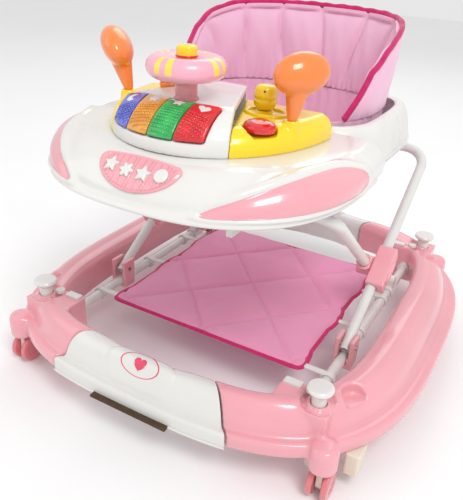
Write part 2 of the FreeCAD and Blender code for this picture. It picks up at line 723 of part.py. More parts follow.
def cross_clamps():
    """Box clamps on frame B, with a pocket for the latch button."""
    x0 = (LEG_A_X + LEG_B_X) / 2 + FACE_GAP / 2
    clamp = tilted_block(x0, CLAMP_OUTER_X, CLAMP_L, CLAMP_H, CROSS_Y, CROSS_Z, LEG_ANGLE)
    clamp = lift(clamp, 4.0, [e for e in clamp.Edges if e.BoundBox.XLength > 5])
    clamp = clamp.cut(swept(leg_b_route(), TUBE_R))
    clamp = clamp.cut(rod(RIVET_D / 2, V(0, CROSS_Y, CROSS_Z), V(CLAMP_OUTER_X - 8, CROSS_Y, CROSS_Z)))
    pocket_depth = BUTTON_TRAVEL + 3.0
    pocket = button_outline(BUTTON_L / 2 + SLIDE_GAP, BUTTON_W / 2 + SLIDE_GAP,
                            CLAMP_OUTER_X - pocket_depth,
                            pocket_depth + CUT_OVER)
    clamp = clamp.cut(pocket)
    return [clamp, mirror_x(clamp)]


def fold_latch():
    """The push button that frees the fold, right-hand side."""
    seat = CLAMP_OUTER_X - 3.0
    return button_outline(BUTTON_L / 2, BUTTON_W / 2, seat, 3.0 + BUTTON_PROUD)


def leg_b_pins():
    """Crossing pivots and foot rivets, fixed in frame B."""
    pivot = rod(RIVET_D / 2, V(LEG_A_X - TUBE_R - 4, CROSS_Y, CROSS_Z),
                V(CLAMP_OUTER_X - 8, CROSS_Y, CROSS_Z))
    half = BRACKET_W / 2
    rivet = rod(RIVET_D / 2, V(LEG_B_X - half - 1.5, FOOT_B_Y, FOOT_Z),
                V(LEG_B_X + half + 1.5, FOOT_B_Y, FOOT_Z))
    return [pivot, mirror_x(pivot), rivet, mirror_x(rivet)]


def foot_brackets():
    """Brackets that slide on the rails and carry the front feet of frame B."""
    half_w = BRACKET_W / 2
    half_l = BRACKET_L / 2
    body = block(LEG_B_X - half_w, LEG_B_X + half_w, FOOT_B_Y - half_l, FOOT_B_Y + half_l,
                 BRACKET_LOW_Z, BRACKET_TOP_Z)
    body = lift(body, 2.0, [e for e in body.Edges if e.BoundBox.YLength < 0.1 and e.BoundBox.ZLength > 10])
    channel_low = RAIL_Z + TUBE_R * 0.6
    channel = block(LEG_B_X - TUBE_R - SLIDE_GAP, LEG_B_X + TUBE_R + SLIDE_GAP,
                    FOOT_B_Y - BRACKET_L, FOOT_B_Y + BRACKET_L, channel_low, BRACKET_TOP_Z + CUT_OVER)
    bore = rod(TUBE_R + SLIDE_GAP, V(RAIL_X, FOOT_B_Y - BRACKET_L, RAIL_Z),
               V(RAIL_X, FOOT_B_Y + BRACKET_L, RAIL_Z))
    holes = rod(RIVET_D / 2 + RUN_GAP, V(LEG_B_X - BRACKET_W, FOOT_B_Y, FOOT_Z),
                V(LEG_B_X + BRACKET_W, FOOT_B_Y, FOOT_Z))
    body = body.cut(channel).cut(bore).cut(holes)
    return [body, mirror_x(body)]


# ---------------------------------------------------------------- tray
def tray_body(grow=0.0, rise=0.0):
    """The tray's full form before it is hollowed and cut."""
    return stacked_ovals(TRAY_LEVELS, RIM_Z, TRAY_POWER, TRAY_CY, grow, rise)


def tray_hollow():
    """The space under the tray's skin."""
    return stacked_ovals(TRAY_LEVELS, RIM_Z, TRAY_POWER, TRAY_CY, -TRAY_WALL, -TRAY_WALL)


def tray_shell(body, hollow):
    """The tray, open below, with a closed rear wall where it meets the seat ring."""
    rear = block(-BASE_HALF_W, BASE_HALF_W, TRAY_REAR_Y, BASE_HALF_L, 0, BACK_TOP_Z)
    hollow_front = hollow.cut(block(-BASE_HALF_W, BASE_HALF_W, TRAY_REAR_Y - TRAY_WALL, BASE_HALF_L,
                                    0, BACK_TOP_Z))
    return body.cut(rear).cut(hollow_front)


def leg_brackets(hollow):
    """Slotted guides for frame A's bar and saddles for frame B's bar."""
    pieces = []
    slot_r = TUBE_R + GUIDE_GAP
    far_y = TOP_A[0] - GUIDE_TRAVEL
    far_z = TOP_A[1] + GUIDE_RISE
    front = TOP_A[0] - GUIDE_TRAVEL - slot_r - GUIDE_WALL
    rear = TOP_A[0] + slot_r + GUIDE_WALL
    for side in (-1, 1):
        x0 = side * GUIDE_X - GUIDE_T / 2
        x1 = side * GUIDE_X + GUIDE_T / 2
        upper = block(x0, x1, front, rear, RIM_Z, TRAY_TOP_Z).common(hollow)
        lower = block(x0, x1, front, rear, TOP_A[1] - slot_r - GUIDE_WALL, RIM_Z)
        corners = [V(x0 - 1, TOP_A[0], TOP_A[1] - slot_r), V(x0 - 1, TOP_A[0], TOP_A[1] + slot_r),
                   V(x0 - 1, far_y, far_z + slot_r), V(x0 - 1, far_y, far_z - slot_r)]
        slot = lines(corners).extrude(V(GUIDE_T + 2, 0, 0))
        ends = [rod(slot_r, V(x0 - 1, y, z), V(x1 + 1, y, z)) for y, z in (TOP_A, (far_y, far_z))]
        guide = upper.fuse(lower).cut(slot.multiFuse(ends)).removeSplitter()
        pieces.append(guide)
        mid = side * SADDLE_X
        grip = TUBE_R + GUIDE_WALL
        saddle = block(mid - SADDLE_T / 2, mid + SADDLE_T / 2, TOP_B[0] - SADDLE_REACH, TOP_B[0] + grip,
                       TOP_B[1] - grip, SKIRT_LOW_Z - FACE_GAP)
        bore = rod(TUBE_R + RUN_GAP, V(mid - SADDLE_T, TOP_B[0], TOP_B[1]),
                   V(mid + SADDLE_T, TOP_B[0], TOP_B[1]))
        pieces.append(saddle.cut(bore))
    return pieces


def headlight():
    """The teardrop cover on the tray's front right corner."""
    along = V(0.471, 0.882, 0)
    outward = V(0.882, -0.471, 0.25).normalize()
    middle = V(155, -243, 374)

    def at(u, v):
        return middle.add(V(along).multiply(u)).add(V(0, 0, v))

    upper = spline_edge([at(-108, -10), at(-60, 6), at(0, 17), at(60, 21), at(102, 12), at(114, -4)])
    lower = spline_edge([at(-108, -10), at(-70, -18), at(0, -22), at(60, -21), at(100, -17), at(114, -4)])
    face = Part.Face(Part.Wire([upper, lower]))
    face.translate(V(outward).multiply(-60))
    prism = face.extrude(V(outward).multiply(190))
    skin = tray_body(LAMP_PROUD, LAMP_PROUD * 0.4).cut(tray_body(LAMP_GAP, LAMP_GAP))
    return largest(skin.common(prism))


def largest(shape):
    """The biggest solid of a result that may hold slivers."""
    return sorted(shape.Solids, key=lambda s: s.Volume)[-1]


def grille_prism(outline, depth):
    """A prism through the sloped front of the tray from a flat outline."""
    tilt = math.radians(GRILLE_TILT_DEG)
    up = V(0, math.cos(tilt), math.sin(tilt))
    out = V(0, -math.sin(tilt), math.cos(tilt))
    centre = V(0, GRILLE_Y, GRILLE_Z).sub(V(out).multiply(depth / 2))
    points = [centre.add(V(u, 0, 0)).add(V(up).multiply(v)) for u, v in outline]
    return lines(points).extrude(V(out).multiply(depth))


def half_moon(width, height, count=18):
    """Outline of a half moon: nearly straight top, round bottom."""
    points = []
    for i in range(count + 1):
        angle = math.pi + math.pi * i / count
        points.append((width / 2 * math.cos(angle), height * 0.32 + height * 0.85 * math.sin(angle)))
    return points + [(width * 0.3, height * 0.42), (0, height * 0.46), (-width * 0.3, height * 0.42)]


def star(centre_x, centre_v, radius, points=5):
    """Outline of a star."""
    outline = []
    for i in range(points * 2):
        r = radius if i % 2 == 0 else radius * 0.55
        angle = math.pi / 2 + math.pi * i / points
        outline.append((centre_x + r * math.cos(angle), centre_v + r * math.sin(angle)))
    return outline


def disc(centre_x, centre_v, radius, count=20):
    """Outline of a round disc."""
    step = 2 * math.pi / count
    return [(centre_x + radius * math.cos(i * step),
             centre_v + radius * math.sin(i * step)) for i in range(count)]


def front_grille(body):
    """The pink half-moon grille on the tray's front."""
    skin = tray_body(GRILLE_PROUD, GRILLE_PROUD).cut(body)
    return largest(skin.common(grille_prism(half_moon(GRILLE_W, GRILLE_H), 60)))


def grille_emblems():
    """Four raised plain shapes on the grille."""
    low = tray_body(GRILLE_PROUD, GRILLE_PROUD)
    skin = tray_body(GRILLE_PROUD * 2, GRILLE_PROUD * 2).cut(low)
    shapes = []
    for i in range(4):
        x = (i - 1.5) * EMBLEM_PITCH
        v = -1.0 if i in (1, 2) else 2.0
        outline = star(x, v, EMBLEM_D / 2) if i % 2 == 0 else disc(x, v, EMBLEM_D / 2 * 0.85)
        shapes.append(largest(skin.common(grille_prism(outline, 60))))
    return shapes


# ---------------------------------------------------------------- toy console
def console_form(levels, grow=0.0, rise=0.0):
    """A console body from its levels, cut off at the rear."""
    form = stacked_ovals(levels, TRAY_TOP_Z, CONSOLE_POWER, CONSOLE_CY, grow, rise)
    return form.cut(block(-BASE_HALF_W, BASE_HALF_W, CONSOLE_REAR_Y, BASE_HALF_L, 0, BACK_TOP_Z * 2))


def wing_zone(gap):
    """Everything outboard of the right-hand seam."""
    slope = (SEAM_FRONT_X - SEAM_REAR_X) / (SEAM_FRONT_Y - SEAM_REAR_Y)
    low_y = -BASE_HALF_L
    high_y = 0.0
    x_low = SEAM_FRONT_X + slope * (low_y - SEAM_FRONT_Y) + gap
    x_high = SEAM_FRONT_X + slope * (high_y - SEAM_FRONT_Y) + gap
    corners = [V(x_low, low_y, 0), V(BASE_HALF_W, low_y, 0), V(BASE_HALF_W, high_y, 0),
               V(x_high, high_y, 0)]
    return lines(corners).extrude(V(0, 0, BACK_TOP_Z))


def key_zone(index, gap, low_gap):
    """The space that a key or its pocket is cut from, clear of the steering column's foot."""
    x0 = KEY_FIRST_X + index * KEY_PITCH + gap
    x1 = KEY_FIRST_X + (index + 1) * KEY_PITCH - gap
    zone = block(x0, x1, -BASE_HALF_L, KEY_REAR_Y - gap, TRAY_TOP_Z + KEY_LOW_RISE - low_gap, BACK_TOP_Z)
    return zone.cut(Part.makeCylinder(COLUMN_D / 2 + COLUMN_FLARE + gap, BACK_TOP_Z, V(0, COLUMN_Y, 0)))


def console_centre():
    """The white middle of the console, with pockets for the keys."""
    outer = console_form(CENTRE_LEVELS)
    inner = console_form(CENTRE_LEVELS, -CONSOLE_WALL, -CONSOLE_WALL)
    inner = inner.cut(block(-BASE_HALF_W, BASE_HALF_W, CONSOLE_REAR_Y - CONSOLE_WALL / 2, 0, 0, BACK_TOP_Z))
    zone = wing_zone(0)
    both = zone.fuse(mirror_x(zone))
    body = outer.cut(both).cut(inner)
    lowered = console_form(CENTRE_LEVELS, -KEY_THICK - 2.6, -KEY_THICK - 2.6)
    pocket_skin = console_form(CENTRE_LEVELS, KEY_PROUD * 2, KEY_PROUD * 2).cut(lowered)
    for i in range(4):
        body = body.cut(pocket_skin.common(key_zone(i, 0.25, 2.6)))
    return body


def key(index):
    """One piano key, wrapped over the console's front edge, with the round lug that it hinges on."""
    upper = console_form(CENTRE_LEVELS, KEY_PROUD, KEY_PROUD)
    lower = console_form(CENTRE_LEVELS, -KEY_THICK, -KEY_THICK)
    leaf = largest(upper.cut(lower).common(key_zone(index, KEY_GAP, 0)))
    middle = KEY_FIRST_X + index * KEY_PITCH + KEY_HINGE_X
    line = Part.makeLine(V(middle, KEY_HINGE_Y, TRAY_TOP_Z), V(middle, KEY_HINGE_Y, BACK_TOP_Z))
    axis_z = line.common(lower).BoundBox.ZMax + KEY_HINGE_DEEP
    lug = rod(KEY_HINGE_D / 2, V(middle - KEY_HINGE_L / 2, KEY_HINGE_Y, axis_z),
              V(middle + KEY_HINGE_L / 2, KEY_HINGE_Y, axis_z))
    return leaf.fuse(lug)


def console_wing():
    """The yellow right-hand end of the console."""
    outer = console_form(WING_LEVELS)
    inner = console_form(WING_LEVELS, -CONSOLE_WALL, -CONSOLE_WALL)
    inner = inner.cut(block(-BASE_HALF_W, BASE_HALF_W, CONSOLE_REAR_Y - CONSOLE_WALL / 2, 0, 0, BACK_TOP_Z))
    top = TRAY_TOP_Z + WING_LEVELS[-1][0]
    body = outer.common(wing_zone(FACE_GAP)).cut(inner.common(wing_zone(CONSOLE_WALL / 2)))
    well = Part.makeCylinder(DOME_R + SLIDE_GAP + 3, 12, V(DOME_X, DOME_Y, top - 14)).common(outer)
    seats = [Part.makeCone(12, 9, 20, V(RATTLE_X, RATTLE_Y, top - 16)),
             Part.makeCone(14, 11, 9, V(TWIST_X, TWIST_Y, top - 6))]
    body = body.fuse(well).multiFuse(seats)
    body = body.cut(Part.makeCylinder(DOME_R + SLIDE_GAP, 60, V(DOME_X, DOME_Y, top - 11)))
    body = body.cut(Part.makeCylinder(STALK_R + RUN_GAP, 40, V(RATTLE_X, RATTLE_Y, top - 14)))
    body = body.cut(Part.makeCylinder(STALK_R + RUN_GAP, 40, V(TWIST_X, TWIST_Y, top - 4)))
    return body.removeSplitter()


def red_button():
    """The domed push button on the right wing."""
    top = TRAY_TOP_Z + WING_LEVELS[-1][0]
    seat = top - 11 + DOME_TRAVEL + FACE_GAP
    drum = Part.makeCylinder(DOME_R, 4 + top - seat - 4, V(DOME_X, DOME_Y, seat))
    crown_r = (DOME_R ** 2 + DOME_PROUD ** 2) / (2 * DOME_PROUD)
    crown = Part.makeSphere(crown_r, V(DOME_X, DOME_Y, top + DOME_PROUD - crown_r))
    crown = crown.common(Part.makeCylinder(DOME_R, DOME_PROUD * 2, V(DOME_X, DOME_Y, top)))
    return drum.fuse(crown).removeSplitter()


def steering_column():
    """The flared post under the steering wheel."""
    base = TRAY_TOP_Z + CENTRE_LEVELS[-1][0]
    r = COLUMN_D / 2
    outline = [(0, 0), (r + COLUMN_FLARE, 0), (r - 1, 3), (r - 1, COLUMN_H - 8), (r + 3, COLUMN_H),
               (4, COLUMN_H),
               (4, COLUMN_H + 6), (0, COLUMN_H + 6)]
    piece = turned(outline)
    piece.translate(V(0, COLUMN_Y, base))
    return piece


def steering_wheel():
    """The fat toy steering wheel with a dished hub."""
    base = TRAY_TOP_Z + CENTRE_LEVELS[-1][0] + COLUMN_H + FACE_GAP
    rim = STEER_T / 2
    arc = []
    for i in range(9):
        angle = -math.pi / 2 + math.pi * i / 8
        arc.append((STEER_R - rim + rim * math.cos(angle), rim + rim * math.sin(angle)))
    outline = [(4 + RUN_GAP, 0)] + arc + [(HORN_D / 2 + 8, STEER_T - 2),
                                          (HORN_D / 2 + SLIDE_GAP, STEER_T - 5),
                                         (HORN_D / 2 + SLIDE_GAP, STEER_T - 12), (4 + RUN_GAP,
                                                                                  STEER_T - 12)]
    wheel = turned(outline)
    wheel.translate(V(0, COLUMN_Y, base))
    return wheel


def horn_button():
    """The push button in the wheel's hub."""
    base = TRAY_TOP_Z + CENTRE_LEVELS[-1][0] + COLUMN_H + FACE_GAP + STEER_T - 12 + HORN_TRAVEL + FACE_GAP
    r = HORN_D / 2
    height = HORN_H + 12 - HORN_TRAVEL - 2
    piece = turned([(0, 0), (r, 0), (r, height - 4), (r - 1.2, height - 1.2), (r - 4, height), (0, height)])
    piece.translate(V(0, COLUMN_Y, base))
    return piece


def rattle():
    """The spoon-shaped rattle on the right wing."""
    seat = TRAY_TOP_Z + WING_LEVELS[-1][0] + 4
    head = Part.makeSphere(1.0)
    scale = FreeCAD.Matrix()
    scale.scale(RATTLE_LONG, RATTLE_THICK, RATTLE_TALL)
    head = head.transformGeometry(scale)
    head.rotate(ORIGIN, Y_AXIS, -RATTLE_LEAN_DEG)
    head.translate(V(16, 0, RATTLE_H - RATTLE_TALL - 4))
    neck = Part.makeCone(STALK_R + 1.5, 15, 42, ORIGIN, V(0.22, 0, 1)).cut(block(-30, 30, -30, 30, -20, 0))
    stalk = Part.makeCylinder(STALK_R, 15, V(0, 0, -14))
    piece = head.fuse(neck).fuse(stalk).removeSplitter()
    piece.rotate(ORIGIN, Z_AXIS, RATTLE_TURN_DEG)
    piece.translate(V(RATTLE_X, RATTLE_Y, seat + FACE_GAP))
    return piece


def twist_knob():
    """The rounded figure-like turning knob on the right wing."""
    seat = TRAY_TOP_Z + WING_LEVELS[-1][0] + 3 + FACE_GAP
    r = TWIST_D / 2
    outline = [(0, -6), (STALK_R, -6), (STALK_R, 0), (r * 0.62, 0), (r * 0.8, 4), (r, TWIST_H * 0.42),
               (r, TWIST_H * 0.72), (r * 0.86, TWIST_H * 0.9), (r * 0.55, TWIST_H), (0, TWIST_H)]
    piece = turned(outline)
    piece.translate(V(TWIST_X, TWIST_Y, seat))
    return piece


def sound_unit():
    """Circuit board, loudspeaker and two cells under the console."""
    floor = TRAY_TOP_Z
    board_y = CELL_Y - CELL_D * 1.5
    board = block(-BOARD_W / 2, BOARD_W / 2, board_y - BOARD_L, board_y, floor, floor + BOARD_T)
    speaker = Part.makeCylinder(SPEAKER_D / 2, SPEAKER_H, V(CELL_X + CELL_L / 2 + SPEAKER_D / 2 + 4,
                                                            CELL_Y, floor))
    cells = []
    for row in (-1, 0):
        y = CELL_Y + row * (CELL_D + 1)
        cells.append(rod(CELL_D / 2, V(CELL_X - CELL_L / 2, y, floor + CELL_D / 2),
                         V(CELL_X + CELL_L / 2, y, floor + CELL_D / 2)))
    return [board, speaker] + cells


def battery_door():
    """The battery door on the underside of the tray's deck."""
    deck = TRAY_TOP_Z - TRAY_WALL
    return block(CELL_X - CELL_L / 2 - DOOR_RIM, CELL_X + CELL_L / 2 + DOOR_RIM,
                 CELL_Y - CELL_D * 1.5 - DOOR_RIM, CELL_Y + CELL_D / 2 + DOOR_RIM, deck - DOOR_T, deck)


# ---------------------------------------------------------------- seat
SLING_TOP_HALF = (SKIRT_TOP_HALF[0] - RIM_WIDTH - FACE_GAP, SKIRT_TOP_HALF[1] - RIM_WIDTH - FACE_GAP)
BACK_LOW_Z = SKIRT_TOP_Z + FACE_GAP


def seat_oval(half, z, grow=0.0, power=SEAT_POWER):
    """A rounded-rectangle outline of the seat at one height."""
    return oval_wire(half[0] + grow, half[1] + grow, power, SEAT_CY, z)


def seat_front_cut():
    """The space of the tray, which the seat ring and skirt stop at."""
    return block(-BASE_HALF_W, BASE_HALF_W, -BASE_HALF_L, TRAY_REAR_Y, 0, TRAY_TOP_Z + 40)


def seat_ring():
    """The rigid ring inside the skirt's foot."""
    low_z = SKIRT_LOW_Z - FACE_GAP
    slab = block(-BASE_HALF_W, BASE_HALF_W, TRAY_REAR_Y, BASE_HALF_L, low_z, low_z + RING_T)
    outer = skirt_hollow(-FACE_GAP, 2.0).common(slab)
    inner = Part.Face(seat_oval(SKIRT_LOW_HALF, low_z - 1, -SKIRT_WALL - RING_W)).extrude(V(0, 0,
                                                                                            RING_T + 2))
    return outer.cut(inner)


def skirt_hollow(grow, over):
    """The space inside the skirt's wall, a little past its lower edge."""
    lean = [(SKIRT_LOW_HALF[i] - SKIRT_TOP_HALF[i]) / (SKIRT_TOP_Z - SKIRT_LOW_Z) for i in (0, 1)]
    low = [SKIRT_LOW_HALF[i] + lean[i] * over for i in (0, 1)]
    high = [SKIRT_TOP_HALF[i] + lean[i] * SKIRT_WALL for i in (0, 1)]
    return Part.makeLoft([seat_oval(low, SKIRT_LOW_Z - over, grow - SKIRT_WALL),
                          seat_oval(high, SKIRT_TOP_Z - SKIRT_WALL, grow - SKIRT_WALL)], True, False)


def vinyl_skirt():
    """The white skirt round the seat ring, with its rolled top rim."""
    outer = Part.makeLoft([seat_oval(SKIRT_LOW_HALF, SKIRT_LOW_Z),
                           seat_oval(SKIRT_TOP_HALF, SKIRT_TOP_Z)], True, False)
    inner = skirt_hollow(0.0, CUT_OVER)
    mouth = Part.Face(seat_oval(SKIRT_TOP_HALF, SKIRT_TOP_Z - 20, -RIM_WIDTH)).extrude(V(0, 0, 40))
    front = seat_front_cut()
    front.translate(V(0, FACE_GAP, 0))
    return outer.cut(inner).cut(mouth).cut(front)


def seat_sling():
    """The fabric seat: a bowl with two leg holes."""
    mid_z = (SKIRT_TOP_Z + SLING_LOW_Z) / 2
    mid = ((SLING_TOP_HALF[0] + SLING_LOW_HALF[0]) / 2 + 8, (SLING_TOP_HALF[1] + SLING_LOW_HALF[1]) / 2 + 8)
    top_z = SKIRT_TOP_Z - FACE_GAP
    outer = Part.makeLoft([seat_oval(SLING_LOW_HALF, SLING_LOW_Z), seat_oval(mid, mid_z),
                           seat_oval(SLING_TOP_HALF, top_z)], True, False)
    inner = Part.makeLoft([seat_oval(SLING_LOW_HALF, SLING_LOW_Z + SLING_T, -SLING_T),
                           seat_oval(mid, mid_z + SLING_T / 2, -SLING_T),
                           seat_oval(SLING_TOP_HALF, top_z + 1, -SLING_T)], True, False)
    bowl = outer.cut(inner)
    for side in (-1, 1):
        hole = Part.makeCylinder(LEG_HOLE_D / 2, 200, V(side * LEG_HOLE_X, SEAT_CY - 10, LEG_HOLE_Z),
                                 V(side * 0.35, -1, -0.25))
        bowl = bowl.cut(hole)
    return bowl


def seat_back():
    """The padded half-round seat back, high at the rear and falling to the front."""
    outer = Part.makeLoft([seat_oval(BACK_LOW_HALF, BACK_LOW_Z, 0, BACK_POWER),
                           seat_oval(BACK_TOP_HALF, BACK_TOP_Z, 0, BACK_POWER)], True, False)
    inner = Part.makeLoft([seat_oval(BACK_LOW_HALF, BACK_LOW_Z - 1, -BACK_T, BACK_POWER),
                           seat_oval(BACK_TOP_HALF, BACK_TOP_Z + 1, -BACK_T, BACK_POWER)], True, False)
    wall = outer.cut(inner)
    rear_y = SEAT_CY + BACK_TOP_HALF[1]
    low = V(0, BACK_FRONT_Y, BACK_LOW_Z)
    rise = BACK_TOP_Z - BACK_LOW_Z
    crest = V(0, rear_y, BACK_TOP_Z)
    foot = V(0, rear_y, BACK_LOW_Z)
    curve = spline_edge([low, V(0, BACK_FRONT_Y + 0.12 * (rear_y - BACK_FRONT_Y), BACK_LOW_Z + 0.5 * rise),
                         V(0, BACK_FRONT_Y + 0.48 * (rear_y - BACK_FRONT_Y),
                           BACK_LOW_Z + 0.88 * rise), crest])
    edges = [curve, Part.makeLine(crest, foot), Part.makeLine(foot, low)]
    profile = Part.Face(Part.Wire(edges))
    profile.translate(V(-BASE_HALF_W, 0, 0))
    keep = profile.extrude(V(2 * BASE_HALF_W, 0, 0))
    return largest(wall.common(keep))


# ---------------------------------------------------------------- write every node
def write(name, shape):
    """Write one node as a STEP file."""
    solids = shape if isinstance(shape, list) else shape.Solids
    result = solids[0] if len(solids) == 1 else Part.makeCompound(solids)
    result.exportStep("parts/" + name + ".step")
    print(name, len(result.Solids), result.isValid(), round(result.Volume / 1000, 1))


def main():
    os.makedirs("parts", exist_ok=True)
    side = base_side()
    write("base_side_right", side)
    write("base_side_left", mirror_x(side))
    panel = end_panel()
    write("base_front_panel", panel)
    write("base_rear_panel", mirror_y(panel))
    write("rail_right", rail())
    write("rail_left", mirror_x(rail()))
    write("rail_fittings", rail_fittings(side))
    write("rail_sleeves", rail_sleeves())
    write("mat_clips", mat_clips())
    write("footrest_mat", footrest_mat())
    write("stair_pads", stair_pads())
    write("friction_strips", friction_strips())
    for corner, shape in four_corners(stopper()).items():
        write("stopper_" + corner, shape)
    for corner, shape in four_corners(caster_fork()).items():
        write("caster_fork_" + corner, shape)
    for corner, shape in four_corners(Part.makeCompound(caster_wheels())).items():
        write("caster_wheels_" + corner, shape)

    cross_hole = cross_bore(CROSS_Y, CROSS_Z, RIVET_D / 2 + RUN_GAP, 0, CLAMP_OUTER_X)
    cross_seat = cross_bore(CROSS_Y, CROSS_Z, RIVET_D / 2, 0, CLAMP_OUTER_X)
    foot_seat = cross_bore(FOOT_B_Y, FOOT_Z, RIVET_D / 2, 0, BASE_HALF_W)
    write("leg_frame_a", leg_frame(leg_a_route(), [cross_hole]))
    write("leg_frame_b", leg_frame(leg_b_route(), [cross_seat, foot_seat]))
    write("leg_a_feet", leg_a_feet())
    write("cross_sockets", cross_sockets())
    write("cross_clamps", cross_clamps())
    write("leg_b_pins", leg_b_pins())
    write("foot_brackets", foot_brackets())
    latch = fold_latch()
    write("fold_latch_right", latch)
    write("fold_latch_left", mirror_x(latch))

    body = tray_body()
    hollow = tray_hollow()
    write("tray_shell", tray_shell(body, hollow))
    write("leg_brackets", leg_brackets(hollow))
    lamp = headlight()
    write("headlight_right", lamp)
    write("headlight_left", mirror_x(lamp))
    write("front_grille", front_grille(body))
    write("grille_emblems", grille_emblems())

    write("console_centre", console_centre())
    wing = console_wing()
    write("console_wing_right", wing)
    write("console_wing_left", mirror_x(wing))
    for index, colour in enumerate(("blue", "amber", "green", "red")):
        write("key_" + colour, key(index))
    write("red_button", red_button())
    write("steering_column", steering_column())
    write("steering_wheel", steering_wheel())
    write("horn_button", horn_button())
    write("rattle_right", rattle())
    write("rattle_left", mirror_x(rattle()))
    write("twist_knob_right", twist_knob())
    write("twist_knob_left", mirror_x(twist_knob()))
    write("sound_unit", sound_unit())
    write("battery_door", battery_door())

    write("seat_ring", seat_ring())
    write("vinyl_skirt", vinyl_skirt())
    write("seat_sling", seat_sling())
    write("seat_back", seat_back())


main()
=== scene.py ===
"""Looks of a folding baby walker: moulded ring base, toy tray, quilted mat and fabric seat."""
import json
import math

import bmesh
import bpy
import numpy as np
from mathutils import Matrix, Vector
from mathutils.bvhtree import BVHTree


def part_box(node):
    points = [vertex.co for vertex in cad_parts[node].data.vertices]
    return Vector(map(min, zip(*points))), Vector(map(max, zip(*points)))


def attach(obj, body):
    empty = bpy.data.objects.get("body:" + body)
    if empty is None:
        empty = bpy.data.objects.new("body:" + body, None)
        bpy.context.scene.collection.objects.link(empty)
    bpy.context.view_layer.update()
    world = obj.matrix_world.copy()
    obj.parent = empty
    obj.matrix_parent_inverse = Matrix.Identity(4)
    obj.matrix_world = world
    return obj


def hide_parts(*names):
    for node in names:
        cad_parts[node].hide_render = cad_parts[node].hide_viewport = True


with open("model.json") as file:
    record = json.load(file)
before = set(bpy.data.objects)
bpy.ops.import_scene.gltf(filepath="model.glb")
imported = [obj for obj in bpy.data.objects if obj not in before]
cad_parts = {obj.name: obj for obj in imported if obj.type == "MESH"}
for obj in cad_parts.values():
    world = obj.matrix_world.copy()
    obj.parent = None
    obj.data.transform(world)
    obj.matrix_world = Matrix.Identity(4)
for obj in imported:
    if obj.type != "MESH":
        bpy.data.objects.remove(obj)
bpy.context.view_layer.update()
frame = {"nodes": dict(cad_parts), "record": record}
MM = 0.001
NODES = frame["nodes"]
BODY_OF = {node: body for body, nodes in frame["record"]["behaviour"]["bodies"].items() for node in nodes}

# ---------------------------------------------------------------- sizes read from the frame
PANEL_LOW, PANEL_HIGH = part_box("base_front_panel")
SIDE_LOW, SIDE_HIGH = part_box("base_side_right")
TRAY_LOW, TRAY_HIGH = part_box("tray_shell")
SLING_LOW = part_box("seat_sling")[0]
HALF_L = SIDE_HIGH.y if SIDE_HIGH.y > PANEL_HIGH.y else -PANEL_LOW.y

# ---------------------------------------------------------------- colours, as linear light
PINK = (0.830, 0.370, 0.420)
PINK_DEEP = (0.800, 0.300, 0.340)
WHITE = (0.740, 0.735, 0.705)
CREAM = (0.780, 0.720, 0.600)
TUBE_WHITE = (0.700, 0.700, 0.670)
LILAC = (0.870, 0.520, 0.690)
MAT_PINK = (0.830, 0.330, 0.520)
MAGENTA = (0.620, 0.015, 0.150)
VINYL_WHITE = (0.760, 0.750, 0.725)
YELLOW = (0.960, 0.670, 0.008)
ORANGE = (0.880, 0.235, 0.045)
WHEEL_PINK = (0.700, 0.190, 0.220)
DARK_GRIP = (0.060, 0.035, 0.020)
KEY_COLOURS = {
    "blue": (0.085, 0.110, 0.560),
    "amber": (0.780, 0.300, 0.006),
    "green": (0.012, 0.420, 0.085),
    "red": (0.720, 0.006, 0.012),
}


# ---------------------------------------------------------------- shader writing
class Tone:
    """A value that a shader works out; ordinary arithmetic on it adds Math nodes."""

    def __init__(self, paint, socket):
        self.paint = paint
        self.socket = socket

    def math(self, kind, *others, clamp=False):
        node = self.paint.tree.nodes.new("ShaderNodeMath")
        node.operation = kind
        node.use_clamp = clamp
        for slot, value in zip(node.inputs, (self, *others)):
            self.paint.feed(slot, value)
        return Tone(self.paint, node.outputs[0])

    def __add__(self, other):
        return self.math("ADD", other)

    def __radd__(self, other):
        return self.math("ADD", other)

    def __sub__(self, other):
        return self.math("SUBTRACT", other)

    def __rsub__(self, other):
        return (self * -1.0).math("ADD", other)

    def __mul__(self, other):
        return self.math("MULTIPLY", other)

    def __rmul__(self, other):
        return self.math("MULTIPLY", other)

    def __truediv__(self, other):
        return self.math("DIVIDE", other)

    def __pow__(self, other):
        return self.math("POWER", other)

    def __neg__(self):
        return self * -1.0

    def __abs__(self):
        return self.math("ABSOLUTE")

    def below(self, edge, soft):
        """1 well below edge and 0 well above it, over a soft width."""
        return ((edge - self) / soft + 0.5).math("ADD", 0.0, clamp=True)

    def most(self, other):
        return self.math("MAXIMUM", other)

    def wave(self):
        return self.math("SINE")

    def root(self):
        return self.math("SQRT")

    def fold(self, step):
        """Repeats 0 to step over and over."""
        return self.math("FLOORED_MODULO", step)


